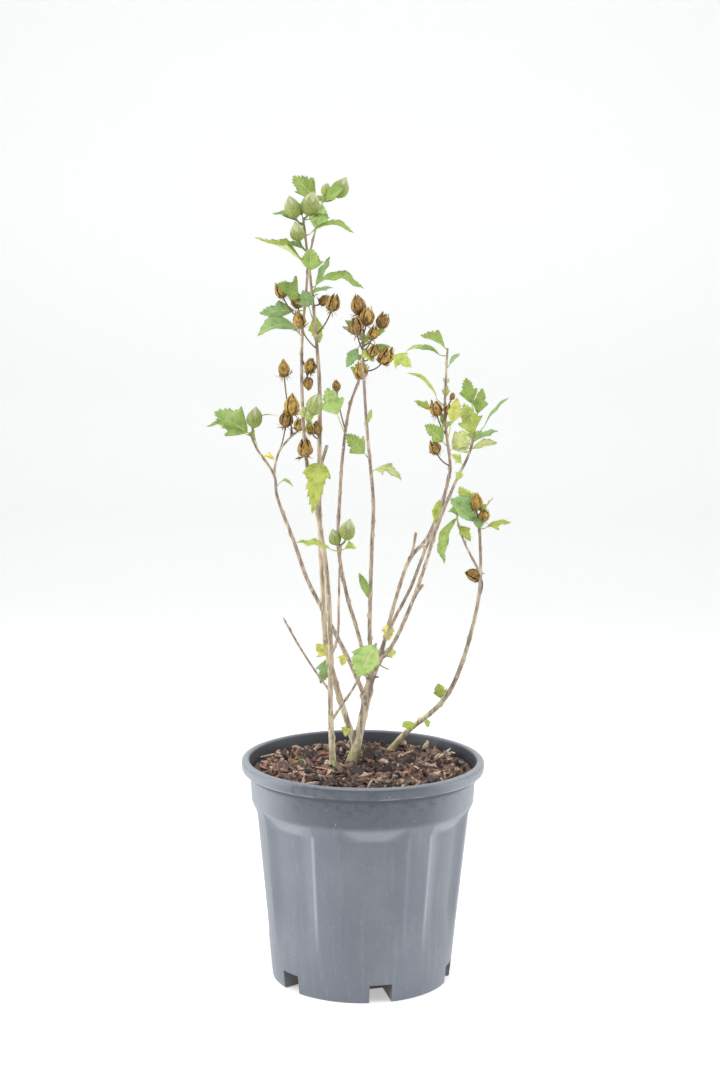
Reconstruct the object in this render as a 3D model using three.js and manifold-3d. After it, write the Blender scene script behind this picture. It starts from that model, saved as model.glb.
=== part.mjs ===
// A young rose of sharon in a round plastic nursery pot, at its real size.
// Millimetres, +Z up. The origin is the centre of the pot's flat underside; the plant's best side faces -Y.
import * as THREE from "three";
import { mergeVertices } from "three/addons/utils/BufferGeometryUtils.js";
import Module from "manifold-3d";

const wasm = await Module();
wasm.setup();

// ---- Driving dimensions -------------------------------------------------------------------------

const GAP = 0.3; // clearance between neighbouring sub-parts

const POT = {
  height: 232,
  footRadius: 93,
  bodyRadius: 110.8, // at the top of the tapered body
  bodyTop: 180,
  collarBottom: 188,
  collarTop: 219,
  collarRadius: [115.3, 117.1], // at its bottom and its top
  mouthRadius: 117.5,
  lip: 1.5, // how far the mouth flares at its very top
  footChamfer: 1.2,
  wall: 2,
  floor: 2.5,
};
// The rolled rim, from its underside round to the mouth: [radius, height].
const RIM = [[123.2, 219.6], [125.7, 221.9], [126, 228.5], [124.4, 231.2], [121, 232], [118.1, 231]];
const RECESS = {
  count: 7,
  first: -45.3, // degrees round from the front, towards +X
  depth: 6,
  halfFloor: 8, // degrees from its middle to the edge of its floor
  halfMouth: 18.4, // degrees from its middle to the edge of its sloped sides
  top: 173,
  fadeFrom: 90,
  bottom: 42,
};
const DRAIN = {
  width: 23.5,
  height: 19.5,
  cover: 2.5, // thickness of the channel's walls inside the pot
  inner: 52, // radius at which each channel ends
  angles: [12.4, 75.5, 137, 198, 258, 310],
};
const MULCH = {
  edgeLevel: 220,
  crown: 4.5, // how much higher the middle lies
  lump: 1.6, // how far the surface rolls up and down
  rollAcross: 9, // how quickly it rolls from left to right
  rollBack: 11, // and from front to back
  rings: [1, 0.78, 0.42], // shares of its radius
};
const STEM_SINK = 1.5; // how deep each stem's flat foot sits in the mulch
const SEAT = { height: 12, pitch: 4 }; // the part of a seat above a stem's foot, and its rings
const ARCH_BEND = 333; // height at which the arching stem is divided

const LEAF = {
  thickness: 0.9,
  width: 0.8, // of the blade's length
  petiole: 0.22, // of the whole length
  petioleRadius: 0.6,
  fold: 0.3, // how far the two halves rise from the midrib, of the half width
};
const CAPSULE = {
  length: 18,
  girth: 0.74, // of its length
  valves: 5,
  shoulder: { at: 0.36, ridge: 1, cleft: 0.92, dip: 0 }, // where it is widest
  lips: { at: 1, ridge: 0.62, cleft: 0.6, dip: 0.22 }, // the tips of the valves and the clefts between
  mouth: 0.62, // depth of the open middle, from the base
  stalkRadius: 0.75,
};
const BUD = {
  length: 20,
  girth: 0.72, // of its length
  levels: [[0.22, 0.9], [0.66, 0.84]], // [share of its length, share of its girth]
  stalkRadius: 0.9,
};
const UPTURN = 0.7; // how strongly fruits and buds turn upright at the end of their stalks
const ARRIVAL = { knee: 0.45, sunk: 0.2 }; // where a stalk bends, of its reach, and how deep its end is sunk
const PITCH = { limb: 35, crownStem: 38 }; // distance between the rings of a stem
const SIDES = { standing: 8, limb: 6, slender: 4, stalk: 3 }; // corners of each kind of section

// Each stem's course from its foot, in millimetres, and its diameters spread evenly along it.
const STEM = {
  trunk: {
    course: [[-11, 15, 222], [-6, 14, 245], [2, 11, 284], [8, 8, 315], [19, 5, 345]],
    girth: [12.5, 9.8, 9, 8.8, 8.4, 7.8, 6.6],
  },
  front_stem: {
    course: [
      [-31, -4, 222], [-34, -14, 290], [-34, -22, 350], [-38, -24, 424], [-45, -22, 473], [-59, -24, 541],
      [-64, -22, 601], [-65, -6, 664], [-61, 2, 716], [-60, 6, 739], [-55, 12, 764], [-46, 20, 803],
    ],
    girth: [7, 5.4, 5.2, 5, 4.8, 4.6, 4, 3.4, 3, 2.7, 2.3, 2],
  },
  left_stem: {
    course: [
      [-8, 14, 240], [-28, 8, 305], [-39, 8, 349], [-43, 6, 406], [-47, 0, 499], [-47, -6, 549],
      [-47, -14, 617], [-52, -18, 682], [-57, -20, 728], [-64, -20, 785],
    ],
    girth: [7, 6.2, 5.4, 5, 4.8, 4.6, 4.2, 3.4, 2.8, 2.4],
  },
  left_bough: {
    course: [[3, 12, 290], [-17, 34, 331], [-44, 50, 379], [-60, 56, 409], [-75, 62, 450], [-93, 68, 497],
      [-96, 70, 518], [-115, 72, 547], [-121, 72, 561]],
    girth: [4.8, 4.6, 4.4, 4.2, 4, 3.6, 2.8, 2.2],
  },
  centre_left_bough: {
    course: [[6, 10, 313], [-8, 34, 363], [-18, 44, 394], [-28, 58, 446], [-27, 64, 489], [-24, 70, 540],
      [-17, 74, 591], [-6, 76, 623]],
    girth: [4.2, 4, 3.8, 3.6, 3.2, 2.8],
  },
  centre_bough: {
    course: [[9, 6, 322], [6, -6, 357], [7, -26, 458], [8, -34, 502], [0, -42, 589], [-4, -46, 662],
      [-3, -46, 676]],
    girth: [4.4, 4.2, 3.9, 3.6, 3.2, 3, 2.4],
  },
  right_bough: {
    course: [[18, 6, 340], [26, 16, 372], [47, 36, 435], [66, 46, 458], [85, 62, 507], [89, 66, 528],
      [84, 74, 571], [83, 76, 601], [85, 78, 653]],
    girth: [4.2, 4, 3.8, 3.6, 3.2, 2.8, 2.2],
  },
  right_middle_bough: {
    course: [[16, 4, 340], [28, 4, 371], [48, 4, 412], [62, 6, 450], [77, 10, 483], [85, 16, 527]],
    girth: [3.8, 3.6, 3.4, 3, 2.4],
  },
  right_outer_bough: {
    course: [[15, 3, 334], [25, -8, 346], [41, -26, 382], [59, -50, 438], [71, -62, 482], [88, -70, 528],
      [102, -74, 560], [108, -76, 595]],
    girth: [4.2, 4, 3.8, 3.4, 3, 2.4],
  },
  arching_stem: {
    course: [[25, 64, 220], [47, 54, 247], [79, 40, 278], [92, 32, 299], [104, 22, 333], [117, 6, 395],
      [119, 0, 427], [117, -8, 468], [115, -10, 489]],
    girth: [6, 5.6, 5, 4.4, 3.8, 3.2, 2.6],
  },
};

// Limbs that are short twigs off another stem.
const TWIG = {
  bare_twig: {
    course: [[-35, -15, 306], [-51, 10, 322], [-66, 24, 342], [-85, 42, 371]],
    girth: [2.6, 2.2, 2],
  },
  leaf_twig: {
    course: [[-32, -8, 274], [-23, -24, 292], [-12, -36, 311], [0, -48, 336], [9, -50, 351], [12, -50, 363]],
    girth: [3, 2.6, 2.3, 2],
  },
  bud_twig: {
    course: [[-34, -21, 342], [-27, -30, 366], [-26, -38, 403], [-25, -48, 447], [-24, -52, 463]],
    girth: [2.8, 2.4, 2],
  },
  arching_side_twig: {
    course: [[118, 0, 428], [102, -6, 459], [94, -10, 482], [94, -12, 490]],
    girth: [2.6, 2.2, 1.8],
  },
};

// Pruned stubs: on which stem, at what height, how far they reach right, back and up.
const STUB = {
  trunk: [[331, 12, -8, -5, 1.6], [313, 8, -4, 4, 2.2]],
  left_stem: [[530, 8, -4, 28, 3.4]],
  right_bough: [[438, 4, -6, 26, 3]],
  right_outer_bough: [[406, 10, 6, 14, 2.8]],
  right_middle_bough: [[450, -3, -4, 7, 2.8]],
};

// What each crown carries. A row is a kind, the height at which it leaves its stem, how far its tip
// reaches right, back and up from there, and its own length, or for a leaf its roll in degrees
// (0 lies flat, 90 shows its face to the front) and its arch as a share of its length.
function leaf(height, right, back, up, roll = 0, arch = 0.12, width = 1, petiole = LEAF.petiole) {
  return { kind: "leaf", height, reach: [right, back, up], roll, arch, width, petiole };
}
function capsule(height, right, back, up, length = CAPSULE.length, upturn = UPTURN) {
  return { kind: "capsule", height, reach: [right, back, up], length, upturn };
}
function bud(height, right, back, up, length = BUD.length, upturn = UPTURN) {
  return { kind: "bud", height, reach: [right, back, up], length, upturn };
}

const CROWN = {
  front_crown: {
    stem: "front_stem",
    from: 541,
    rows: [
      capsule(545, -2, -14, 24, 21),
      bud(571, 15, -12, 42, 24, 0),
      capsule(620, 10, 6, 28, 17),
      capsule(646, 8, -4, -33, 14),
      capsule(682, -26, 6, 40, 17),
      capsule(685, -9, 12, 28),
      leaf(669, -45, -14, -1, 28, 0.28, 0.9, 0.04),
      leaf(694, -46, 8, -4, 55, 0.05, 0.8),
      leaf(696, 4, 30, 16, 0),
      leaf(703, -29, -14, 17, 55, 0.1, 1.3),
      capsule(704, 24, 12, 5, 14),
      leaf(708, 28, 14, 8, 10),
      leaf(738, -4, 26, 8, 0),
      leaf(768, 9, -14, 31, 80, 0, 1.1),
      leaf(798, -29, 8, 31, 62, 0.1, 1, 0.22),
      leaf(799, 2, 26, 10, 0),
      leaf(801, 22, -8, 15, 60, 0.05, 1.1),
      bud(803, 24, 2, 24, 23),
      bud(803, 4, 4, 18, 13),
    ],
  },
  left_crown: {
    stem: "left_stem",
    from: 561,
    rows: [
      capsule(564, -12, -3, 20, 15),
      capsule(566, -3, -15, 20, 16),
      bud(569, -17, -26, 31, 12),
      bud(571, -11, -28, 26, 12),
      capsule(656, -21, -12, 39, 19),
      capsule(670, 20, -8, 42, 19),
      leaf(680, -12, -14, 35, 75, 0, 1.2, 0.5),
      leaf(697, 6, 16, -36, 90, 0, 0.7),
      leaf(718, 53, -8, -2, 25, 0.27, 0.65, 0.06),
      leaf(711, 18, 8, 37, 20, 0, 0.4),
      leaf(728, 1, -18, 28, 50, 0, 1.2),
      leaf(739, -54, -8, 27, 12, 0.07, 0.75, 0.08),
      bud(752, -12, -8, 30),
      leaf(754, -21, 10, 7, 40, 0.1, 0.8),
      leaf(769, 49, -12, 2, 15, 0.22, 0.7, 0.08),
      bud(778, -15, -4, 29, 23),
      leaf(780, -32, 6, 10, 20, 0.1),
      leaf(784, 27, -12, 1, 20, 0.12, 0.8),
      leaf(784, -6, 6, 17, 60, 0),
      bud(785, 10, -6, 27, 25),
    ],
  },
  left_bough_crown: {
    stem: "left_bough",
    from: 503,
    fork: {
      from: 518,
      course: [[-95, 69, 528], [-90, 64, 545], [-81, 60, 557], [-74, 56, 564]],
      girth: [2.6, 2.2],
    },
    rows: [
      leaf(508, 19, -6, -1, 25, 0.38, 0.7, 0.12),
      leaf(538, 14, -8, -3, 40, 0.15, 0.65, 0.05),
      leaf(547, 23, -12, 35, 0, 0.45, 0.3, 0.05),
      leaf(561, -38, -8, 24, 60, 0.05, 1.15, 0.08),
      leaf(560, -46, -22, 11, 12, 0.16, 0.5, 0.1),
      bud(561, 6, -4, 30, 23),
      leaf(556, -6, 26, 4, 0, 0.12, 0.7),
    ],
    forkRows: [
      capsule(545, 8, -5, 45, 20),
      capsule(562, -11, 10, 80, 20),
      capsule(560, 1, -6, 48, 25),
      capsule(564, 6, -3, 18, 15),
    ],
  },
  centre_left_crown: {
    stem: "centre_left_bough",
    from: 556,
    rows: [
      leaf(562, -19, -12, 50, 80, 0, 1.1, 0.42),
      capsule(566, -11, 6, 54, 13),
      capsule(622, 1, -2, 18, 20),
      leaf(612, 8, 26, 23, 0),
      leaf(618, 8, 20, 14, 10),
    ],
  },
  centre_crown: {
    stem: "centre_bough",
    from: 632,
    rows: [
      capsule(636, 27, -6, 25, 20),
      capsule(660, 23, 4, 35),
      capsule(657, -8, -12, 34, 19),
      capsule(655, 12, -12, 27, 15),
      capsule(646, 13, -14, 18, 14),
      leaf(668, 48, -14, -27, 45, 0.18, 1.25, 0.6),
      leaf(652, 28, 2, 8, 30),
      leaf(667, -16, -10, -27, 80, 0.05, 0.75, 0.3),
      leaf(659, 11, -12, -13, 75, 0.05, 0.8, 0.05),
      leaf(666, -21, -4, 14, 60, 0.2, 0.5, 0.4),
      leaf(668, -18, 8, 18, 45, 0.1, 0.9, 0.4),
      leaf(668, 22, -8, 9, 60, 0.1, 1, 0.35),
      capsule(674, 4, -7, 27, 20),
      capsule(675, -7, 4, 38, 22),
      leaf(660, 8, 30, 10, 0),
      leaf(645, -14, 28, 4, 0),
    ],
  },
  right_crown: {
    stem: "right_bough",
    from: 525,
    rows: [
      capsule(530, -20, -6, 29, 17),
      leaf(550, -26, -14, 24, 60, 0.05, 1),
      leaf(545, 22, -14, 22, 60, 0.05, 1.3, 0.15),
      leaf(556, 9, -14, 47, 75, 0, 0.75, 0.42),
      leaf(566, -5, 8, 19, 70, 0, 0.6),
      capsule(562, -14, -4, 38, 18),
      leaf(580, -33, 6, 17, 30, 0.05, 0.9, 0.45),
      capsule(578, 2, -10, 19, 12),
      capsule(590, 9, 4, 17, 8),
      leaf(592, -41, -10, 36, 30, 0.18, 0.28),
      leaf(597, 2, 10, 18, 80, 0, 0.75),
      leaf(632, 14, -8, 16, 40, 0.1, 0.6),
      leaf(645, -44, 8, 3, 18, 0.2, 0.7, 0.18),
      leaf(652, -29, -4, 14, 30, 0.12, 1, 0.1),
      leaf(568, 8, 20, 6, 0),
      leaf(622, 2, 24, -8, 20, 0.1, 0.6),
    ],
  },
  right_outer_crown: {
    stem: "right_outer_bough",
    from: 538,
    rows: [
      leaf(546, -13, -8, 12, 60, 0.1, 0.9),
      leaf(541, -4, -14, -8, 70),
      leaf(562, 26, -14, 8, 35, 0.05, 0.7, 0.04),
      leaf(570, 26, 10, 10, 30, 0.08, 0.6),
      leaf(572, 34, -14, 43, 20, 0.08, 0.35, 0.32),
      leaf(575, -11, -18, 34, 70, 0, 0.85, 0.08),
      leaf(564, -14, -14, -2, 30, 0.05, 0.6),
      leaf(584, -6, -14, 12, 60, 0.05, 0.6),
      leaf(590, -10, 10, 42, 70, 0, 0.9, 0.4),
      leaf(590, 6, -4, 33, 65, 0, 0.8),
      leaf(566, 10, 26, 12, 0),
    ],
  },
  arching_crown: {
    stem: "arching_stem",
    from: 468,
    rows: [
      leaf(489, 1, -10, -13, 75, 0, 1.15, 0.02),
      leaf(474, 32, -6, 8, 20),
      capsule(476, 6, -4, 21, 15),
      leaf(480, -30, -10, 26, 60, 0.05, 1.05, 0.15),
      capsule(484, -4, -8, 30, 20),
      leaf(487, -20, 6, 30, 50),
      leaf(489, 9, 6, 10, 30),
      leaf(486, 16, 16, 19, 0, 0.08, 0.3, 0.5),
    ],
  },
  bud_crown: {
    stem: "bud_twig",
    from: 452,
    rows: [
      leaf(456, -44, -8, 10, 20, 0.1, 0.6),
      leaf(458, 16, -10, 3, 40, 0.1, 0.9),
      bud(463, -9, 0, 16, 17),
      bud(463, 9, -4, 27, 22),
    ],
  },
  arching_side_crown: {
    stem: "arching_side_twig",
    from: 478,
    rows: [
      leaf(489, -13, -6, -50, 10, 0.25, 0.42, 0.06),
      leaf(482, 13, -14, -19, 70, 0.1, 0.8),
      leaf(486, -4, 20, 8, 0),
    ],
  },
};

// Single leaves and fruits that spring straight from the side of a limb.
const SHOOT = {
  withered_leaf: { stem: "left_stem", organ: leaf(541, -6, -34, -49, 90, 0.42, 0.62, 0.02) },
  low_left_leaf: { stem: "left_stem", organ: leaf(337, -8, -5, -28, 70, 0.04, 0.85, 0.05) },
  low_left_small_leaf: { stem: "left_stem", organ: leaf(338, -13, -3, 13, 75, 0.05, 1.3, 0.05) },
  foot_leaf: { stem: "left_stem", organ: leaf(264, -3, -8, -11, 80, 0.05, 1.1, 0.1) },
  left_bough_leaf: { stem: "left_bough", organ: leaf(336, -3, -14, -12, 80, 0, 0.9, 0.1) },
  trunk_right_leaf: { stem: "right_outer_bough", organ: leaf(340, 13, 6, 4, 55, 0.05, 1.15, 0.02) },
  right_yellow_leaf: { stem: "right_bough", organ: leaf(372, -1, -14, -17, 85, 0, 0.9, 0.05) },
  centre_low_leaf: { stem: "centre_bough", organ: leaf(400, -12, -12, 31, 60, 0.05, 0.4, 0.08) },
  centre_right_leaf: { stem: "centre_bough", organ: leaf(536, 31, -12, -9, 25, 0.3, 0.85, 0.05) },
  centre_left_leaf: { stem: "centre_bough", organ: leaf(548, -24, -10, 26, 70, 0.05, 1) },
  centre_high_leaf: { stem: "centre_bough", organ: leaf(580, 5, -8, 19, 40, 0, 0.5) },
  arching_low_leaf: { stem: "arching_stem", organ: leaf(283, -5, -12, 23, 80, 0.05, 1) },
  arching_foot_leaf: { stem: "arching_stem", organ: leaf(256, -15, -10, -1, 45, 0.1, 1.4, 0.1) },
  arching_foot_small_leaf: { stem: "arching_stem", organ: leaf(266, 1, -14, -9, 70, 0.05, 0.8, 0.3) },
  arching_capsule: { stem: "arching_stem", organ: capsule(398, -15, -10, 31, 20, -0.7) },
  right_low_leaf: { stem: "right_middle_bough", organ: leaf(470, 5, 8, 31, 60, 0.05, 0.6) },
  leaf_twig_leaf: { stem: "leaf_twig", organ: leaf(362, -18, -7, -32, 82, 0.05, 1.2, 0.02) },
};

// ---- Closed bodies from arrays of points ----------------------------------------------------------

const degrees = Math.PI / 180;
const vec = (p) => new THREE.Vector3(...p);
const mix = (a, b, t) => a + (b - a) * t;
const range = (count) => Array.from({ length: count }, (_, i) => i);

// A list of values spread evenly from 0 to 1, read anywhere between.
function spread(values, t) {
  const place = THREE.MathUtils.clamp(t, 0, 1) * (values.length - 1);
  const low = Math.min(Math.floor(place), values.length - 2);
  return mix(values[low], values[low + 1], place - low);
}

function body(points, triangles) {
  const geometry = new THREE.BufferGeometry();
  const numbers = points.flatMap((p) => [p.x, p.y, p.z]);
  geometry.setAttribute("position", new THREE.Float32BufferAttribute(numbers, 3));
  geometry.setIndex(triangles);
  return solid(geometry);
}

function solid(geometry) {
  for (const name of Object.keys(geometry.attributes)) {
    if (name !== "position") geometry.deleteAttribute(name);
  }
  const merged = mergeVertices(geometry, 1e-4);
  const vertProperties = merged.attributes.position.array;
  const triVerts = new Uint32Array(merged.index.array);
  return new wasm.Manifold(new wasm.Mesh({ numProp: 3, vertProperties, triVerts }));
}

// Rings of points, all of one count, joined in order and closed by a point at each end.
function loft(rings, first, last) {
  const sides = rings[0].length;
  const points = [first, ...rings.flat(), last];
  const triangles = [];
  const at = (ring, side) => 1 + ring * sides + (side % sides);
  for (const side of range(sides)) {
    triangles.push(0, at(0, side + 1), at(0, side));
    for (const ring of range(rings.length - 1)) {
      triangles.push(at(ring, side), at(ring, side + 1), at(ring + 1, side + 1));
      triangles.push(at(ring, side), at(ring + 1, side + 1), at(ring + 1, side));
    }
    triangles.push(points.length - 1, at(rings.length - 1, side), at(rings.length - 1, side + 1));
  }
  return body(points, triangles);
}

// A ring of points round a place, square to a direction.
function ring(centre, normal, binormal, radius, sides) {
  return range(sides).map((i) => {
    const angle = (2 * Math.PI * i) / sides;
    return centre.clone().addScaledVector(normal, radius * Math.cos(angle))
      .addScaledVector(binormal, radius * Math.sin(angle));
  });
}

// A tapering round limb along a list of places, with flat ends. Its section is carried along untwisted.
function sweep(places, radii, sides) {
  const ends = places.length - 1;
  const along = places.map((_, i) => {
    const [before, after] = [places[Math.max(i - 1, 0)], places[Math.min(i + 1, ends)]];
    return after.clone().sub(before).normalize();
  });
  let normal = new THREE.Vector3(0.37, 0.93, 0.02);
  const rings = places.map((place, i) => {
    normal = normal.clone().addScaledVector(along[i], -normal.dot(along[i])).normalize();
    return ring(place, normal, new THREE.Vector3().crossVectors(along[i], normal), radii[i], sides);
  });
  return loft(rings, places[0], places[ends]);
}

// ---- Stems -----------------------------------------------------------------------------------------

// A stem's curve, with the height along it turned into a share of its length.
class Stem {
  constructor({ course, girth }) {
    this.curve = new THREE.CatmullRomCurve3(course.map(vec), false, "centripetal");
    this.girth = girth;
  }
  share(height) {
    let [low, high] = [0, 1];
    for (const _ of range(30)) {
      const middle = (low + high) / 2;
      if (this.curve.getPointAt(middle).z < height) low = middle;
      else high = middle;
    }
    return (low + high) / 2;
  }
  place(share) {
    return this.curve.getPointAt(share);
  }
  radius(share) {
    return spread(this.girth, share) / 2;
  }
  // The stretch between two shares of the length, grown outwards by a clearance.
  piece(from, to, grow = 0, sides = SIDES.limb, pitch = PITCH.limb) {
    const length = this.curve.getLength();
    const steps = Math.max(3, Math.round(((to - from) * length) / pitch));
    const shares = range(steps + 1).map((i) => mix(from, to, i / steps));
    const places = shares.map((s) => this.place(s));
    if (grow) {
      places[0].addScaledVector(this.curve.getTangentAt(from), -grow);
      places[steps].addScaledVector(this.curve.getTangentAt(to), grow);
    }
    return sweep(places, shares.map((s) => this.radius(s) + grow), sides);
  }
}

// ---- Leaves, fruits and buds -------------------------------------------------------------------------

// The blade is a thin lens: a lobed outline round a raised midrib, folded up along it and arched.
const LEAF_EDGE = [[0.16, 0.3], [0.42, 0.5], [0.6, 0.26], [0.82, 0.17]]; // [share of length, of width]
const LEAF_RIB = [0.25, 0.52, 0.76];

// A place on a leaf's blade, from its share of the length, its share across and its lift off the face.
function bladeSpot(base, tip, { roll, arch }) {
  const axis = tip.clone().sub(base);
  const length = axis.length();
  axis.normalize();
  // The upper face looks up, or with more roll to the front.
  const face = new THREE.Vector3(0, -Math.sin(roll * degrees), Math.cos(roll * degrees));
  face.addScaledVector(axis, -face.dot(axis)).normalize();
  const side = new THREE.Vector3().crossVectors(face, axis);
  return (t, across, lift) => {
    const rise = (4 * arch * t * (1 - t) + LEAF.fold * Math.abs(across)) * length + lift;
    return base.clone().addScaledVector(axis, t * length).addScaledVector(side, across * length)
      .addScaledVector(face, rise);
  };
}

function blade(spot, width) {
  const rim = (sign) => LEAF_EDGE.map(([t, w]) => spot(t, sign * w * LEAF.width * width, 0));
  const rib = (sign) => LEAF_RIB.map((t) => spot(t, 0, (sign * LEAF.thickness) / 2));
  // 0 base, 1 tip, 2-5 left rim, 6-9 right rim, 10-12 upper rib, 13-15 lower rib
  const points = [spot(0, 0, 0), spot(1, 0, 0), ...rim(1), ...rim(-1), ...rib(1), ...rib(-1)];
  const half = (edge, spine) => [
    [0, edge, spine], [edge, edge + 1, spine], [edge + 1, spine + 1, spine],
    [edge + 1, edge + 2, spine + 1], [edge + 2, spine + 2, spine + 1], [edge + 2, edge + 3, spine + 2],
    [edge + 3, 1, spine + 2],
  ];
  const flip = (faces) => faces.map(([a, b, c]) => [a, c, b]);
  const faces = [...flip(half(2, 10)), ...half(6, 10), ...half(2, 13), ...flip(half(6, 13))];
  return body(points, faces.flat());
}

function leafBody(root, row) {
  const tip = root.clone().add(vec(row.reach));
  const base = root.clone().lerp(tip, row.petiole);
  const spot = bladeSpot(base, tip, row);
  const ends = [root, spot(LEAF_RIB[0], 0, 0)];
  const petiole = sweep(ends, ends.map(() => LEAF.petioleRadius), SIDES.stalk);
  return [petiole, blade(spot, row.width)];
}

// The end of a stalk, where a fruit or bud of this length begins, and the way that it points.
function standing(root, row) {
  const reach = vec(row.reach);
  const tip = root.clone().add(reach);
  const axis = reach.clone().normalize();
  axis.z += Math.sign(row.reach[2]) * row.upturn;
  axis.normalize();
  return { axis, base: tip.clone().addScaledVector(axis, -row.length) };
}

function sideways(axis) {
  const normal = new THREE.Vector3(0.2, 1, 0.1).cross(axis).normalize();
  return [normal, new THREE.Vector3().crossVectors(axis, normal)];
}

// A ripe capsule: five pointed valves that gape at the tip.
function capsuleBody(root, row) {
  const { axis, base } = standing(root, row);
  const [normal, binormal] = sideways(axis);
  const widest = (row.length * CAPSULE.girth) / 2;
  const sides = 2 * CAPSULE.valves;
  const level = ({ at, ridge, cleft, dip }) =>
    range(sides).map((i) => {
      const [height, share] = i % 2 ? [at - dip, cleft] : [at, ridge];
      const centre = base.clone().addScaledVector(axis, row.length * height);
      return ring(centre, normal, binormal, widest * share, sides)[i];
    });
  const mouth = base.clone().addScaledVector(axis, row.length * CAPSULE.mouth);
  const fruit = loft([level(CAPSULE.shoulder), level(CAPSULE.lips)], base, mouth);
  return [fruit, stemTo(root, base, axis, row.length, CAPSULE.stalkRadius)];
}

// A closed flower bud: a pointed egg.
function budBody(root, row) {
  const { axis, base } = standing(root, row);
  const [normal, binormal] = sideways(axis);
  const widest = (row.length * BUD.girth) / 2;
  const rings = BUD.levels.map(([at, share]) => {
    const centre = base.clone().addScaledVector(axis, row.length * at);
    return ring(centre, normal, binormal, widest * share, SIDES.limb);
  });
  const tip = base.clone().addScaledVector(axis, row.length);
  return [loft(rings, base, tip), stemTo(root, base, axis, row.length, BUD.stalkRadius)];
}

// A stalk that arrives in line with what it carries, its end sunk well in.
function stemTo(root, base, axis, length, radius) {
  const distance = base.distanceTo(root);
  const knee = base.clone().addScaledVector(axis, -ARRIVAL.knee * distance);
  const end = base.clone().addScaledVector(axis, ARRIVAL.sunk * length);
  const curve = new THREE.QuadraticBezierCurve3(root, knee, end);
  const places = [0, 0.5, 1].map((t) => curve.getPoint(t));
  return sweep(places, places.map(() => radius), SIDES.stalk);
}

const ORGAN = { leaf: leafBody, capsule: capsuleBody, bud: budBody };

// ---- The pot and its mulch ---------------------------------------------------------------------------

// How far the outside of the pot is pushed in at a height and an angle from the front.
function recessDepth(z, angle) {
  const period = 360 / RECESS.count;
  const off = Math.abs(((((angle - RECESS.first) % period) + 1.5 * period) % period) - period / 2);
  const between = (value, none, full) => THREE.MathUtils.clamp((value - none) / (full - none), 0, 1);
  const across = between(off, RECESS.halfMouth, RECESS.halfFloor);
  const below = between(z, RECESS.bottom, RECESS.fadeFrom);
  const above = between(z, POT.bodyTop, RECESS.top);
  return RECESS.depth * across * below * above;
}

// The radius of the body below the collar.
const taper = (z) => mix(POT.footRadius, POT.bodyRadius, z / POT.bodyTop);

// A point on a wall of revolution: [radius, height, does it follow the recesses].
function wallPoint([radius, z, follows], angle) {
  const r = follows ? radius - recessDepth(z, angle) : radius;
  return new THREE.Vector3(r * Math.sin(angle * degrees), -r * Math.cos(angle * degrees), z);
}

// The angles at which the wall has corners: the edges of each recess and of the panel between two.
const WALL_ANGLES = range(RECESS.count).flatMap((i) =>
  [-180 / RECESS.count, -RECESS.halfMouth, -RECESS.halfFloor, RECESS.halfFloor, RECESS.halfMouth]
    .map((off) => RECESS.first + (360 / RECESS.count) * i + off));

// A body of revolution from the middle of its underside to the middle of its top.
function turned(profile, bottom, top) {
  const rings = profile.map((row) => WALL_ANGLES.map((angle) => wallPoint(row, angle)));
  return loft(rings, new THREE.Vector3(0, 0, bottom), new THREE.Vector3(0, 0, top));
}

const wallHeights = [RECESS.bottom, RECESS.fadeFrom, RECESS.top, POT.bodyTop];

function potSide(inset) {
  return [
    ...wallHeights.map((z) => [taper(z) - inset, z, true]),
    [POT.collarRadius[0] - inset, POT.collarBottom],
    [POT.collarRadius[1] - inset, POT.collarTop],
  ];
}

// A straight block along a radius of the pot, for a drain channel and for its cover.
function radialBlock(angle, width, height, inner, outer) {
  const block = new THREE.BoxGeometry(width, outer - inner, height + 1);
  block.translate(0, -(inner + outer) / 2, (height - 1) / 2);
  block.rotateZ(angle * degrees);
  return solid(block);
}

const drains = (width, height, inner, outer) =>
  wasm.Manifold.union(DRAIN.angles.map((angle) => radialBlock(angle, width, height, inner, outer)));

function drainCovers(grow = 0) {
  const side = DRAIN.cover + grow;
  return drains(DRAIN.width + 2 * side, DRAIN.height + side, DRAIN.inner - side, POT.bodyRadius);
}

function potBody() {
  const foot = [[POT.footRadius - POT.footChamfer, 0], [POT.footRadius, POT.footChamfer]];
  const outside = turned([...foot, ...potSide(0), ...RIM], 0, RIM.at(-1)[1]);
  const mouth = [[POT.mouthRadius, POT.height - POT.lip], [POT.mouthRadius + POT.lip, POT.height + POT.lip]];
  const inner = [[POT.footRadius - POT.wall, POT.floor], ...potSide(POT.wall), ...mouth];
  const inside = turned(inner, POT.floor, POT.height + POT.lip);
  const shell = outside.subtract(inside);
  const covers = drainCovers().intersect(outside);
  return shell.add(covers).subtract(drains(DRAIN.width, DRAIN.height, DRAIN.inner, POT.bodyRadius));
}

// The level of the mulch at a distance from the middle.
const mulchLevel = (x, y) => MULCH.edgeLevel + MULCH.crown * (1 - (x * x + y * y) / POT.mouthRadius ** 2);

function mulchBody() {
  const inset = POT.wall + GAP;
  const lump = (x, y) => MULCH.lump * Math.sin(x / MULCH.rollAcross) * Math.cos(y / MULCH.rollBack);
  const surface = MULCH.rings.map((share) => WALL_ANGLES.map((angle) => {
    const point = wallPoint([(POT.collarRadius[1] - inset) * share, 0], angle);
    point.z = mulchLevel(point.x, point.y) + (share < 1 ? lump(point.x, point.y) : 0);
    return point;
  }));
  const wall = [[POT.footRadius - inset, POT.floor + GAP], ...potSide(inset)];
  const rings = [...wall.map((row) => WALL_ANGLES.map((angle) => wallPoint(row, angle))), ...surface];
  const [bottom, top] = [POT.floor + GAP, mulchLevel(0, 0)].map((z) => new THREE.Vector3(0, 0, z));
  const filling = loft(rings, bottom, top);
  return filling.subtract(drainCovers(GAP));
}

// ---- Assembly ------------------------------------------------------------------------------------------

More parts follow.
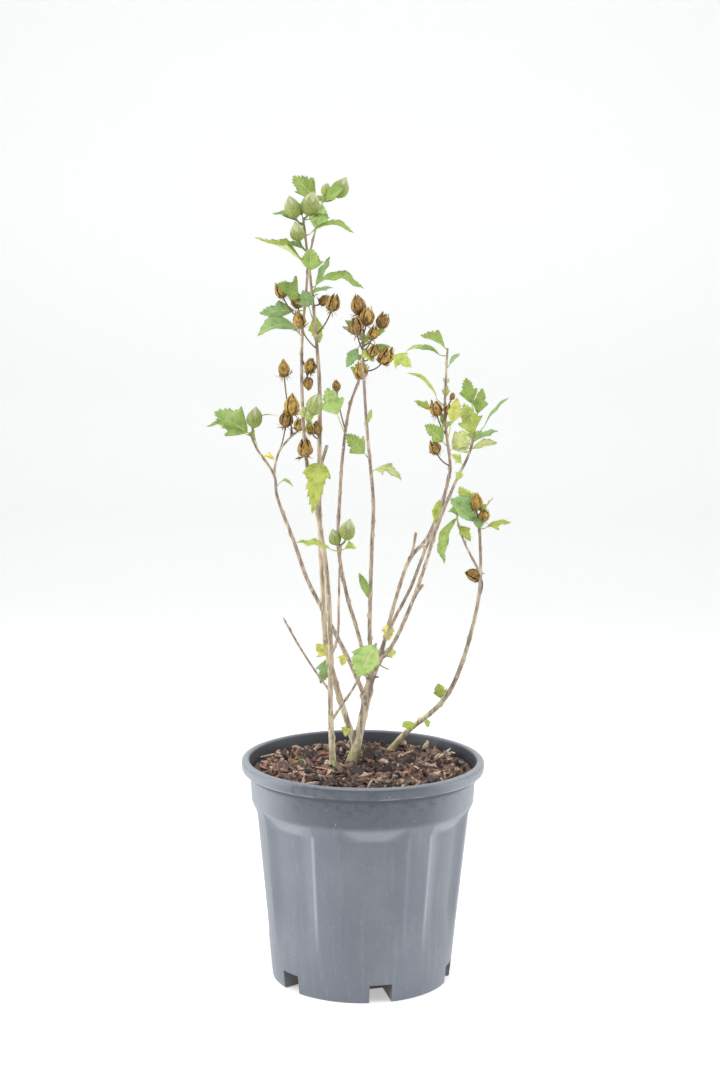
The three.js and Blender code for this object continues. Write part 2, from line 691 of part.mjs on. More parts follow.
const MATERIAL = {
  pot: new THREE.MeshStandardMaterial({ color: 0x7d828a, roughness: 0.5, metalness: 0 }),
  mulch: new THREE.MeshStandardMaterial({ color: 0x4a352b, roughness: 0.95, metalness: 0 }),
  bark: new THREE.MeshStandardMaterial({ color: 0x8d7a6e, roughness: 0.85, metalness: 0 }),
  foliage: new THREE.MeshStandardMaterial({ color: 0x86a556, roughness: 0.7, metalness: 0 }),
};

const group = new THREE.Group();
const placed = []; // every body so far, a limb grown outwards by the gap

// The largest piece of a body, which a neighbour may have cut in two, becomes a named mesh.
function place(name, material, made, grown = made) {
  const largest = made.decompose().sort((a, b) => b.volume() - a.volume())[0];
  const mesh = largest.getMesh();
  const geometry = new THREE.BufferGeometry();
  geometry.setAttribute("position", new THREE.BufferAttribute(new Float32Array(mesh.vertProperties), 3));
  geometry.setIndex(new THREE.BufferAttribute(mesh.triVerts, 1));
  const part = new THREE.Mesh(geometry, MATERIAL[material]);
  part.name = name;
  group.add(part);
  placed.push(grown);
}

function boxesMeet(a, b) {
  const [one, two] = [a.boundingBox(), b.boundingBox()];
  return range(3).every((i) => one.min[i] <= two.max[i] && two.min[i] <= one.max[i]);
}

const near = (made) => placed.filter((grown) => boxesMeet(made, grown));
const clearOfAll = (made) => near(made).reduce((left, grown) => left.subtract(grown), made);
const touchesAny = (made) => near(made).some((grown) => made.intersect(grown).volume() > 0);

// A limb with its pruned stubs, cut clear of every limb that is already there.
function addLimb(name, stem, from, to, sides = SIDES.limb) {
  const stubs = (grow) => (STUB[name] ?? []).map(([height, right, back, up, girth]) => {
    const root = stem.place(stem.share(height));
    const end = root.clone().add(new THREE.Vector3(right, back, up));
    const radius = girth / 2 + grow;
    return sweep([root, end], [radius, radius], SIDES.slender);
  });
  const whole = (grow) => wasm.Manifold.union([stem.piece(from, to, grow, sides), ...stubs(grow)]);
  place(name, "bark", clearOfAll(whole(0)), whole(GAP));
}

const organOn = (stem, row) =>
  wasm.Manifold.union(ORGAN[row.kind](stem.place(stem.share(row.height)), row));

// A crown's stem or stems, fused with all that they carry. What would touch a neighbour is left out.
function addCrown(name, crown) {
  const stem = stems[crown.stem];
  const wood = [stem.piece(stem.share(crown.from), 1, 0, SIDES.slender, PITCH.crownStem)];
  const organs = crown.rows.map((row) => organOn(stem, row));
  if (crown.fork) {
    const foot = stem.place(stem.share(crown.fork.from)).toArray();
    const fork = new Stem({ course: [foot, ...crown.fork.course], girth: crown.fork.girth });
    wood.push(fork.piece(0, 1, 0, SIDES.slender, PITCH.crownStem));
    organs.push(...crown.forkRows.map((row) => organOn(fork, row)));
  }
  const kept = organs.filter((organ) => !touchesAny(organ));
  place(name, "foliage", wasm.Manifold.union([...wood.map(clearOfAll), ...kept]));
}

place("pot", "pot", potBody());

const sizes = Object.entries({ ...STEM, ...TWIG });
const stems = Object.fromEntries(sizes.map(([name, size]) => [name, new Stem(size)]));

// The stems that stand in the mulch end in a flat foot, in a seat of its own.
const foot = {};
let mulch = mulchBody();
for (const name of ["trunk", "front_stem", "arching_stem"]) {
  const stem = stems[name];
  const [x, y] = STEM[name].course[0];
  const level = mulchLevel(x, y) - STEM_SINK;
  foot[name] = stem.share(level);
  const above = stem.share(level + SEAT.height);
  mulch = mulch.subtract(stem.piece(stem.share(level - GAP), above, GAP, SIDES.standing, SEAT.pitch));
}
place("mulch", "mulch", mulch);

const crownStart = {};
for (const { stem, from } of Object.values(CROWN)) crownStart[stem] = stems[stem].share(from);

for (const name of Object.keys(STEM)) {
  const from = foot[name] ?? 0;
  const to = crownStart[name] ?? 1;
  if (name === "arching_stem") {
    const bend = stems[name].share(ARCH_BEND);
    addLimb("arching_stem_low", stems[name], from, bend);
    addLimb("arching_stem_high", stems[name], bend, to);
  } else {
    addLimb(name, stems[name], from, to, name in foot ? SIDES.standing : SIDES.limb);
  }
}
for (const name of Object.keys(TWIG)) addLimb(name, stems[name], 0, crownStart[name] ?? 1, SIDES.slender);
for (const [name, crown] of Object.entries(CROWN)) addCrown(name, crown);
for (const [name, shoot] of Object.entries(SHOOT)) {
  place(name, "foliage", clearOfAll(organOn(stems[shoot.stem], shoot.organ)));
}

export default group;
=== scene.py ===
from math import radians

import bmesh
import bpy
import numpy as np
from bpy.props import FloatProperty, FloatVectorProperty, IntProperty, PointerProperty
from mathutils import Matrix, Vector


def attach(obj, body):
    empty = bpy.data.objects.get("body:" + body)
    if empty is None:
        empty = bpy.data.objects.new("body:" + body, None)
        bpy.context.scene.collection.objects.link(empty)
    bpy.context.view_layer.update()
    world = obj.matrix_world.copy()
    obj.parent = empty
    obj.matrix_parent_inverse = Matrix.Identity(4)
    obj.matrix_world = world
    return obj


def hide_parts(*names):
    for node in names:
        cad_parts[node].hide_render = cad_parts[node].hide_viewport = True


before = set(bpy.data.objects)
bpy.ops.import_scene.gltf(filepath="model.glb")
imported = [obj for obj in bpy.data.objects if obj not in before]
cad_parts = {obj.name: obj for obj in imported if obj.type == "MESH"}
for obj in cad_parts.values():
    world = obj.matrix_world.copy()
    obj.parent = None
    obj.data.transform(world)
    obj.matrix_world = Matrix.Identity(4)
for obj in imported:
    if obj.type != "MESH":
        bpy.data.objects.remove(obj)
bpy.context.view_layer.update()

# A young rose of sharon in a round plastic nursery pot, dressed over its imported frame. Shapes are worked
# out in millimetres, from the same named sizes and rows as the frame, and go into each mesh in metres.

bl_info = {
    "name": "Potted rose of sharon",
    "version": (1, 0, 0),
    "blender": (4, 5, 0),
    "location": "View3D > Sidebar > Rose of Sharon",
    "description": "Builds a young rose of sharon with its pot, mulch, wood, leaves, buds and capsules",
    "category": "Add Mesh",
}

MM = 0.001
WELD = 1e-6  # metres within which points are one
TURN = 2 * np.pi

# ---- Sizes of the pot and its filling, in millimetres ----------------------------------------------------

POT = {
    "height": 232,
    "foot": 93,
    "body": 110.8,
    "body_top": 180,
    "mouth": 117.5,
    "wall": 2,
    "floor": 2.5,
}
# The wall above the tapered body, up over the collar and the rolled rim and into the mouth: radius, height.
COLLAR_AND_RIM = [
    (110.4, 176), (110.8, 178.4), (111.7, 181), (113, 184), (114.4, 187), (115.3, 189.3), (115.5, 191.5),
    (115.9, 200), (116.7, 212), (117, 217.2), (117.4, 218.4), (118.6, 219.1), (121.6, 219.2), (123.6, 219.6),
    (124.9, 220.8), (125.6, 222.4), (125.9, 228.4), (125.5, 230.2), (124.4, 231.3), (122.8, 231.9),
    (120.6, 232), (119.2, 231.7), (118.3, 230.9), (117.8, 229.6), (116.6, 225), (115.2, 219), (114.6, 205),
    (113.4, 188),
]
RECESS = {
    "count": 7, "first": -45.3, "depth": 6, "half_floor": 8, "half_mouth": 18.4,
    "top": 173.5, "slope_from": 187, "fade_from": 90, "bottom": 42,
}
DRAIN = {
    "width": 23.5, "height": 19.5, "cover": 2.5, "inner": 52,
    "angles": (12.4, 75.5, 137, 198, 258, 310),
}
MULCH = {"edge": 220, "crown": 4.5, "lump": 1.6, "rolls": (9, 11), "bottom": 21.5}
STEM_SINK = 1.5

# ---- The plant's own sizes: each stem's course from its foot, and its thickness spread evenly along it ----

STEM = {
    "trunk": (
        [(-11, 15, 222), (-6, 14, 245), (2, 11, 284), (8, 8, 315), (19, 5, 345)],
        [12.5, 9.8, 9, 8.8, 8.4, 7.8, 6.6]),
    "front_stem": (
        [(-31, -4, 222), (-34, -14, 290), (-34, -22, 350), (-38, -24, 424), (-45, -22, 473),
         (-59, -24, 541), (-64, -22, 601), (-65, -6, 664), (-61, 2, 716), (-60, 6, 739), (-55, 12, 764),
         (-46, 20, 803)],
        [7, 5.4, 5.2, 5, 4.8, 4.6, 4, 3.4, 3, 2.7, 2.3, 2]),
    "left_stem": (
        [(-8, 14, 240), (-28, 8, 305), (-39, 8, 349), (-43, 6, 406), (-47, 0, 499), (-47, -6, 549),
         (-47, -14, 617), (-52, -18, 682), (-57, -20, 728), (-64, -20, 785)],
        [7, 6.2, 5.4, 5, 4.8, 4.6, 4.2, 3.4, 2.8, 2.4]),
    "left_bough": (
        [(3, 12, 290), (-17, 34, 331), (-44, 50, 379), (-60, 56, 409), (-75, 62, 450), (-93, 68, 497),
         (-96, 70, 518), (-115, 72, 547), (-121, 72, 561)],
        [4.8, 4.6, 4.4, 4.2, 4, 3.6, 2.8, 2.2]),
    "centre_left_bough": (
        [(6, 10, 313), (-8, 34, 363), (-18, 44, 394), (-28, 58, 446), (-27, 64, 489), (-24, 70, 540),
         (-17, 74, 591), (-6, 76, 623)],
        [4.2, 4, 3.8, 3.6, 3.2, 2.8]),
    "centre_bough": (
        [(9, 6, 322), (6, -6, 357), (7, -26, 458), (8, -34, 502), (0, -42, 589), (-4, -46, 662),
         (-3, -46, 676)],
        [4.4, 4.2, 3.9, 3.6, 3.2, 3, 2.4]),
    "right_bough": (
        [(18, 6, 340), (26, 16, 372), (47, 36, 435), (66, 46, 458), (85, 62, 507), (89, 66, 528),
         (84, 74, 571), (83, 76, 601), (85, 78, 653)],
        [4.2, 4, 3.8, 3.6, 3.2, 2.8, 2.2]),
    "right_middle_bough": (
        [(16, 4, 340), (28, 4, 371), (48, 4, 412), (62, 6, 450), (77, 10, 483), (85, 16, 527)],
        [3.8, 3.6, 3.4, 3, 2.4]),
    "right_outer_bough": (
        [(15, 3, 334), (25, -8, 346), (41, -26, 382), (59, -50, 438), (71, -62, 482), (88, -70, 528),
         (102, -74, 560), (108, -76, 595)],
        [4.2, 4, 3.8, 3.4, 3, 2.4]),
    "arching_stem": (
        [(25, 64, 220), (47, 54, 247), (79, 40, 278), (92, 32, 299), (104, 22, 333), (117, 6, 395),
         (119, 0, 427), (117, -8, 468), (115, -10, 489)],
        [6, 5.6, 5, 4.4, 3.8, 3.2, 2.6]),
    "bare_twig": ([(-35, -15, 306), (-51, 10, 322), (-66, 24, 342), (-85, 42, 371)], [2.6, 2.2, 2]),
    "leaf_twig": (
        [(-32, -8, 274), (-23, -24, 292), (-12, -36, 311), (0, -48, 336), (9, -50, 351), (12, -50, 363)],
        [3, 2.6, 2.3, 2]),
    "bud_twig": (
        [(-34, -21, 342), (-27, -30, 366), (-26, -38, 403), (-25, -48, 447), (-24, -52, 463)],
        [2.8, 2.4, 2]),
    "arching_side_twig": ([(118, 0, 428), (102, -6, 459), (94, -10, 482), (94, -12, 490)], [2.6, 2.2, 1.8]),
}
# A twig that forks off near the end of a bough: from which height, its course and its thickness.
FORK = {
    "stem": "left_bough", "from": 518,
    "course": [(-95, 69, 528), (-90, 64, 545), (-81, 60, 557), (-74, 56, 564)], "girth": [2.6, 2.2],
}
STANDING = ("trunk", "front_stem", "arching_stem")  # the stems that stand in the mulch
# Pruned stubs: on which stem, at what height, how far they reach right, back and up, and how thick they are.
STUB = [
    ("trunk", 331, (12, -8, -5), 1.6), ("trunk", 313, (8, -4, 4), 2.2),
    ("left_stem", 530, (8, -4, 28), 3.4), ("right_bough", 438, (4, -6, 26), 3.0),
    ("right_outer_bough", 406, (10, 6, 14), 2.8), ("right_middle_bough", 450, (-3, -4, 7), 2.8),
]

# Knots: on which stem, at what height, which way they face, how far they rise and how wide they are.
KNOT = [
    ("trunk", 317, (-1, -0.8), 5.2, 3.8), ("trunk", 295, (-1, -0.2), 4, 2.6),
    ("trunk", 291, (-0.4, -1), 3.2, 5), ("trunk", 335, (1, -0.6), 1.8, 4),
    ("trunk", 300, (1, -0.5), 1.4, 5), ("left_stem", 331, (-1, -1), 1.6, 3),
    ("front_stem", 338, (1, -1), 1.6, 3), ("front_stem", 255, (1, -0.3), 1, 4),
    ("left_stem", 292, (-1, -0.5), 1.4, 4), ("arching_stem", 262, (0.3, -1), 1.2, 3),
    ("front_stem", 430, (-1, -0.6), 1.2, 2.5), ("centre_bough", 470, (1, -1), 1.4, 2.2),
    ("right_bough", 436, (-1, -0.6), 1.6, 2.4), ("right_outer_bough", 470, (1, -0.8), 1.4, 2.2),
]
# How old the bark at a stem's foot looks, from young, 0, to old, 1.
FOOT_AGE = {"front_stem": 0.85, "left_stem": 0.85, "arching_stem": 0.8}
USUAL_AGE = 0.55

LEAF = {"thickness": 0.5, "petiole": 0.22, "petiole_radius": 0.6, "fold": 0.3, "side_veins": 7}
CAPSULE = {"length": 18, "girth": 0.74, "valves": 5, "stalk_radius": 0.75}
BUD = {"length": 20, "girth": 0.72, "stalk_radius": 0.9}
# Rings of bracts: how many, then where they start, how long and how wide they are as shares of what they
# hold, how far they lean out and by how much more at their tips, in radians, and how ragged they are.
BUD_BRACTS = (7, 0.08, 0.42, 0.09, 0.9, -0.7, 0.15)
SEPALS = (5, 0.12, 0.5, 0.22, 1.1, -0.8, 0.3)
DRY_BRACTS = (9, 0.06, 0.45, 0.06, 1.4, 0.5, 0.4)
UPTURN = 0.7
ARRIVAL = {"knee": 0.45, "sunk": 0.2}


def leaf(height, right, back, up, roll=0, arch=0.12, width=1, petiole=LEAF["petiole"], tint="green",
         lobes=None):
    """A leaf: the height at which it leaves its stem, how far its tip reaches, its roll in degrees, and the
    arch of its blade as a share of its length. Its lobes go from none, 0, to full, 1; a narrow leaf has
    few."""
    lobes = np.clip(1.7 * width - 0.45, 0, 1) if lobes is None else lobes
    return {"kind": "leaf", "height": height, "reach": (right, back, up), "roll": roll, "arch": arch,
            "width": width, "petiole": petiole, "tint": tint, "lobes": lobes}


def capsule(height, right, back, up, length=CAPSULE["length"], upturn=UPTURN, gape=0.5, age=0.4):
    """A ripe capsule, from closed, 0, to wide open, 1, and from golden, 0, to weathered, 1."""
    return {"kind": "capsule", "height": height, "reach": (right, back, up), "length": length,
            "upturn": upturn, "gape": gape, "age": age}


def bud(height, right, back, up, length=BUD["length"], upturn=UPTURN, tint="bud"):
    """A closed flower bud."""
    return {"kind": "bud", "height": height, "reach": (right, back, up), "length": length,
            "upturn": upturn, "tint": tint}


CROWN = {
    "front_crown": ("front_stem", [
        capsule(545, -2, -14, 24, 21, gape=0.7),
        bud(571, 15, -12, 42, 24, 0),
        capsule(620, 10, 6, 28, 17),
        capsule(646, 8, -4, -33, 14),
        capsule(682, -26, 6, 40, 17, gape=0.8),
        capsule(685, -9, 12, 28),
        leaf(669, -45, -14, -1, 28, 0.28, 0.9, 0.04, tint="bluish", lobes=0.2),
        leaf(694, -46, 8, -4, 55, 0.05, 0.8, tint="bluish"),
        leaf(696, 4, 30, 16, 0),
        leaf(703, -29, -14, 17, 55, 0.1, 1.3),
        capsule(704, 24, 12, 5, 14),
        leaf(708, 28, 14, 8, 10, tint="bluish"),
        leaf(738, -4, 26, 8, 0),
        leaf(768, 9, -14, 31, 80, 0, 1.1, tint="light"),
        # The topmost leaf lies 1.2 lower than in the frame, so that its teeth keep to the frame's box.
        leaf(798, -29, 8, 29.8, 62, 0.1, 1, 0.22),
        leaf(799, 2, 26, 10, 0),
        leaf(801, 22, -8, 15, 60, 0.05, 1.1),
        bud(803, 24, 2, 24, 23),
        bud(803, 4, 4, 18, 13, tint="fresh"),
    ]),
    "left_crown": ("left_stem", [
        capsule(564, -12, -3, 20, 15, gape=0.3),
        capsule(566, -3, -15, 20, 16, gape=0.2),
        bud(569, -17, -26, 31, 12, tint="fresh"),
        bud(571, -11, -28, 26, 12, tint="fresh"),
        capsule(656, -21, -12, 39, 19, gape=0.3),
        capsule(670, 20, -8, 42, 19),
        leaf(680, -12, -14, 35, 75, 0, 1.2, 0.5, tint="bluish"),
        leaf(697, 6, 16, -36, 90, 0, 0.7, tint="lime"),
        leaf(718, 53, -8, -2, 25, 0.27, 0.65, 0.06, lobes=0.4),
        leaf(711, 18, 8, 37, 20, 0, 0.4, tint="bluish"),
        leaf(728, 1, -18, 28, 50, 0, 1.2),
        leaf(739, -54, -8, 27, 12, 0.07, 0.75, 0.08, tint="lime"),
        bud(752, -12, -8, 30),
        leaf(754, -21, 10, 7, 40, 0.1, 0.8, tint="bluish"),
        leaf(769, 49, -12, 2, 15, 0.22, 0.7, 0.08),
        bud(778, -15, -4, 29, 23),
        leaf(780, -32, 6, 10, 20, 0.1, tint="bluish"),
        leaf(784, 27, -12, 1, 20, 0.12, 0.8, tint="deep"),
        leaf(784, -6, 6, 17, 60, 0),
        bud(785, 10, -6, 27, 25),
    ]),
    "left_bough_crown": ("left_bough", [
        leaf(508, 19, -6, -1, 25, 0.38, 0.7, 0.12, tint="light"),
        leaf(538, 14, -8, -3, 40, 0.15, 0.65, 0.05, tint="yellow"),
        leaf(547, 23, -12, 35, 0, 0.45, 0.3, 0.05, tint="lime"),
        leaf(561, -38, -8, 24, 60, 0.05, 1.15, 0.08, tint="light"),
        leaf(560, -46, -22, 11, 12, 0.16, 0.5, 0.1),
        bud(561, 6, -4, 30, 23),
        leaf(556, -6, 26, 4, 0, 0.12, 0.7),
    ]),
    "left_bough_fork": ("left_bough_fork", [
        capsule(545, 8, -5, 45, 20, gape=0.5),
        capsule(562, -11, 10, 80, 20, gape=0, age=0.15),
        capsule(560, 1, -6, 48, 25, gape=0, age=0),
        capsule(564, 6, -3, 18, 15, gape=0.7),
    ]),
    "centre_left_crown": ("centre_left_bough", [
        leaf(562, -19, -12, 50, 80, 0, 1.1, 0.42, tint="light"),
        capsule(566, -11, 6, 54, 13, gape=0.3),
        capsule(622, 1, -2, 18, 20, gape=0.6),
        leaf(612, 8, 26, 23, 0),
        leaf(618, 8, 20, 14, 10, tint="lime"),
    ]),
    "centre_crown": ("centre_bough", [
        capsule(636, 27, -6, 25, 20, gape=0.7, age=0.3),
        capsule(660, 23, 4, 35, gape=0.6),
        capsule(657, -8, -12, 34, 19),
        capsule(655, 12, -12, 27, 15),
        capsule(646, 13, -14, 18, 14),
        leaf(668, 48, -14, -27, 45, 0.18, 1.25, 0.6, tint="lime"),
        leaf(652, 28, 2, 8, 30),
        leaf(667, -16, -10, -27, 80, 0.05, 0.75, 0.3, tint="bluish"),
        leaf(659, 11, -12, -13, 75, 0.05, 0.8, 0.05, tint="lime"),
        leaf(666, -21, -4, 14, 60, 0.2, 0.5, 0.4, tint="husk"),
        leaf(668, -18, 8, 18, 45, 0.1, 0.9, 0.4, tint="bluish"),
        leaf(668, 22, -8, 9, 60, 0.1, 1, 0.35),
        capsule(674, 4, -7, 27, 20),
        capsule(675, -7, 4, 38, 22, gape=0.3),
        leaf(660, 8, 30, 10, 0),
        leaf(645, -14, 28, 4, 0),
    ]),
    "right_crown": ("right_bough", [
        capsule(530, -20, -6, 29, 17, gape=0.5),
        leaf(550, -26, -14, 24, 60, 0.05, 1),
        leaf(545, 22, -14, 22, 60, 0.05, 1.3, 0.15, tint="pale"),
        leaf(556, 9, -14, 47, 75, 0, 0.75, 0.42, tint="turning"),
        leaf(566, -5, 8, 19, 70, 0, 0.6, tint="lime"),
        capsule(562, -14, -4, 38, 18, gape=0.7),
        leaf(580, -33, 6, 17, 30, 0.05, 0.9, 0.45, tint="lime"),
        capsule(578, 2, -10, 19, 12, gape=0.9),
        capsule(590, 9, 4, 17, 8),
        leaf(592, -41, -10, 36, 30, 0.18, 0.28, tint="lime"),
        leaf(597, 2, 10, 18, 80, 0, 0.75, tint="lime"),
        leaf(632, 14, -8, 16, 40, 0.1, 0.6, tint="bluish"),
        leaf(645, -44, 8, 3, 18, 0.2, 0.7, 0.18, tint="light"),
        leaf(652, -29, -4, 14, 30, 0.12, 1, 0.1),
        leaf(568, 8, 20, 6, 0, tint="bluish"),
        leaf(622, 2, 24, -8, 20, 0.1, 0.6),
    ]),
    "right_outer_crown": ("right_outer_bough", [
        leaf(546, -13, -8, 12, 60, 0.1, 0.9, tint="lime"),
        leaf(541, -4, -14, -8, 70, tint="lime"),
        leaf(562, 26, -14, 8, 35, 0.05, 0.7, 0.04, tint="pale"),
        leaf(570, 26, 10, 10, 30, 0.08, 0.6, tint="bluish"),
        leaf(572, 34, -14, 43, 20, 0.08, 0.35, 0.32, tint="bluish"),
        leaf(575, -11, -18, 34, 70, 0, 0.85, 0.08, tint="lime"),
        leaf(564, -14, -14, -2, 30, 0.05, 0.6, tint="bluish"),
        leaf(584, -6, -14, 12, 60, 0.05, 0.6, tint="lime"),
        leaf(590, -10, 10, 42, 70, 0, 0.9, 0.4),
        leaf(590, 6, -4, 33, 65, 0, 0.8),
        leaf(566, 10, 26, 12, 0),
    ]),
    "arching_crown": ("arching_stem", [
        leaf(489, 1, -10, -13, 75, 0, 1.15, 0.02, tint="bluish", lobes=0.4),
        leaf(474, 32, -6, 8, 20, tint="lime"),
        capsule(476, 6, -4, 21, 15, age=0.1),
        leaf(480, -30, -10, 26, 60, 0.05, 1.05, 0.15, tint="bluish", lobes=0.1),
        capsule(484, -4, -8, 30, 20, gape=0.15, age=0.3),
        leaf(487, -20, 6, 30, 50, tint="lime"),
        leaf(489, 9, 6, 10, 30),
        leaf(486, 16, 16, 19, 0, 0.08, 0.3, 0.5, tint="pale"),
    ]),
    "bud_crown": ("bud_twig", [
        leaf(456, -44, -8, 10, 20, 0.1, 0.6, tint="lime"),
        leaf(458, 16, -10, 3, 40, 0.1, 0.9, tint="lime"),
        bud(463, -9, 0, 16, 17),
        bud(463, 9, -4, 27, 22),
    ]),
    "arching_side_crown": ("arching_side_twig", [
        leaf(489, -13, -6, -50, 10, 0.25, 0.42, 0.06, tint="green"),
        leaf(482, 13, -14, -19, 70, 0.1, 0.8, tint="lime"),
        leaf(486, -4, 20, 8, 0),
    ]),
}

# Single leaves and fruits that spring straight from the side of a limb.
SHOOT = {
    "withered_leaf": ("left_stem", [
        leaf(541, -6, -34, -49, 90, 0.42, 0.62, 0.02, tint="withered", lobes=0.9)]),
    "low_left_leaf": ("left_stem", [leaf(337, -8, -5, -28, 70, 0.04, 0.85, 0.05, tint="bluish")]),
    "low_left_small_leaf": ("left_stem", [leaf(338, -13, -3, 13, 75, 0.05, 1.3, 0.05, tint="turning")]),
    "foot_leaf": ("left_stem", [leaf(264, -3, -8, -11, 80, 0.05, 1.1, 0.1, tint="turning")]),
    "left_bough_leaf": ("left_bough", [leaf(336, -3, -14, -12, 80, 0, 0.9, 0.1, tint="turning")]),
    "trunk_right_leaf": ("right_outer_bough", [leaf(340, 13, 6, 4, 55, 0.05, 1.15, 0.02, tint="turning")]),
    "right_yellow_leaf": ("right_bough", [leaf(372, -1, -14, -17, 85, 0, 0.9, 0.05, tint="yellow")]),
    "centre_low_leaf": ("centre_bough", [leaf(400, -12, -12, 31, 60, 0.05, 0.4, 0.08)]),
    "centre_right_leaf": ("centre_bough", [leaf(536, 31, -12, -9, 25, 0.3, 0.85, 0.05, tint="pale")]),
    "centre_left_leaf": ("centre_bough", [leaf(548, -24, -10, 26, 70, 0.05, 1)]),
    "centre_high_leaf": ("centre_bough", [leaf(580, 5, -8, 19, 40, 0, 0.5)]),
    "arching_low_leaf": ("arching_stem", [leaf(283, -5, -12, 23, 80, 0.05, 1, tint="lime")]),
    "arching_foot_leaf": ("arching_stem", [leaf(256, -15, -10, -1, 45, 0.1, 1.4, 0.1, tint="lime")]),
    "arching_foot_small_leaf": ("arching_stem", [leaf(266, 1, -14, -9, 70, 0.05, 0.8, 0.3, tint="lime")]),
    "arching_capsule": ("arching_stem", [capsule(398, -15, -10, 31, 20, -0.7, gape=0.2, age=0.2)]),
    "right_low_leaf": ("right_middle_bough", [leaf(470, 5, 8, 31, 60, 0.05, 0.6, tint="lime")]),
    "leaf_twig_leaf": ("leaf_twig", [
        leaf(362, -18, -7, -32, 82, 0.05, 1.2, 0.02, tint="light", lobes=0.5)]),
}
GREEN_NODES = [name for name in (*CROWN, *SHOOT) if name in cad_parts]
WOOD_NODES = [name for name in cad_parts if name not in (*GREEN_NODES, "pot", "mulch")]

# ---- The chips, the beads and the studio -----------------------------------------------------------------

# Loose chips: how even their lengths are; the bounds of their length, width and thickness in millimetres, and
# of their width as a share of their length; how far out they lie and how far from the mulch's level; how much
# their shades vary, the brightest that one may be, and how many corners each has.
CHIP = {
    "evenness": 6, "length": (4, 28), "slimness": (0.12, 0.42), "width": (1.4, 7), "thickness": (0.8, 3.6),
    "reach": 113, "lift": 2, "shade": (0.7, 1.3), "brightest": 0.72, "corners": 7,
}
CHIP_MIX = {"dark": 0.36, "brown": 0.33, "red": 0.15, "tan": 0.13, "pale": 0.03}
# How chips lie: the share that lie steeply, and the usual tilt in radians of those, of the rest and of the
# placed ones.
TILT = {"share": 0.3, "steep": 0.75, "flat": 0.32, "placed": 0.5}
# Chips, splinters and leaf bits with places of their own: colour, then length, width and thickness, then
# each one's place and how high it lies above the mulch.
PLACED_CHIPS = [
    ("pale", (24, 3.2, 1.6), [(14, -80, 2.5), (86, 44, 4), (94, 50, 4), (-106, 42, 2)]),
    ("tan", (22, 4.5, 2), [(40, -60, 2), (-60, -70, 2), (70, -10, 2.5), (-86, 30, 2.5), (-20, 60, 2)]),
    ("red", (20, 7, 3), [(74, 20, 2), (-72, 8, 2.5), (60, 40, 3), (-40, 40, 2), (20, -50, 2)]),
    ("dark", (26, 13, 9), [(6, 8, 5), (16, 16, 4), (24, -32, 3), (-8, -48, 3), (46, 8, 3), (-52, 22, 3)]),
    ("brown", (30, 7, 3), [(32, 30, 4), (64, -34, 3), (-24, -30, 3), (-80, -24, 3)]),
    ("leaf", (13, 10, 0.6), [(-65, -2, 5), (-29, -18, 4)]),
]
BEAD = {"radius": 1.7, "lift": 2.4}
BEAD_PLACES = [
    (52, 83), (51, -2), (50, -55), (98, -13), (101, -18), (32, -27), (-1, -40), (-70, 20), (12, 40)]

# The floor, in metres: how far back and how high it goes as it sweeps up behind the plant.
SWEEP = [(-3.2, 0), (0, 0), (2.4, 0), (2.9, 0.08), (3.3, 0.4), (3.5, 0.9), (3.55, 3.6)]
SWEEP_HALF_WIDTH = 4.5
# Each soft light's place, width and height, in metres. They all face one place on the plant.
LIGHTS = {
    "top": ((0, -0.7, 2.6), (2.2, 2.2)),
    "left": ((-1.7, -0.25, 0.8), (1.1, 1.7)),
    "right": ((1.7, -0.25, 0.8), (1.1, 1.7)),
}
LIT_PLACE = (0, 0, 0.4)
CAMERA = {"place": (-0.005, -2.09, 0.767), "sensor": 36, "lens": 68.6, "down": 8.386, "roll": 0.5}

# ---- What a user can change ------------------------------------------------------------------------------

def length_of(name, description, millimetres):
    """A length, named in the sidebar."""
    return FloatProperty(name=name, description=description, default=millimetres * MM, min=0, unit="LENGTH")


def colour_of(name, description, value):
    """A colour, named in the sidebar."""
    return FloatVectorProperty(
        name=name, description=description, default=value, size=3, min=0, max=1, subtype="COLOR")


def share_of(name, description, value):
    """A share from none to all, named in the sidebar."""
    return FloatProperty(name=name, description=description, default=value, min=0, max=1, subtype="FACTOR")


def power_of(name, description, watts):
    """A lamp's power, named in the sidebar."""
    return FloatProperty(name=name, description=description, default=watts, min=0, unit="POWER")


class PotLook(bpy.types.PropertyGroup):
    """The pot's sizes and finish."""
    foot: length_of("Foot radius", "Radius of the pot's flat underside", POT["foot"])
    recess: length_of("Recess depth", "How deep the seven recesses are pressed in", RECESS["depth"])
    plastic: colour_of("Plastic", "The moulded plastic", (0.147, 0.165, 0.2))
    # Also the colour of the painted highlights on the recesses' slopes and edges, the sides of the collar and
    # rim, and the top of the rim.
    dust_and_highlight: colour_of("Dust", "Dried dust and chalky streaks on the plastic", (0.42, 0.45, 0.49))
    # Also the colour of the painted shade at the front and back of the collar and rim, and of the painted
    # shadow line under the rim.
    damp_and_shade: colour_of("Damp marks", "Dark damp marks on the collar and the rim", (0.055, 0.065, 0.085))
    # Painted shade: the inner wall above the mulch is coloured dark.
    mouth: colour_of("Inner wall", "The shaded wall above the mulch", (0.05, 0.056, 0.07))
    soil: colour_of("Soil stain", "Soil that clings in the drain openings", (0.2, 0.15, 0.1))
    gloss: share_of("Roughness", "Roughness of the plastic", 0.33)


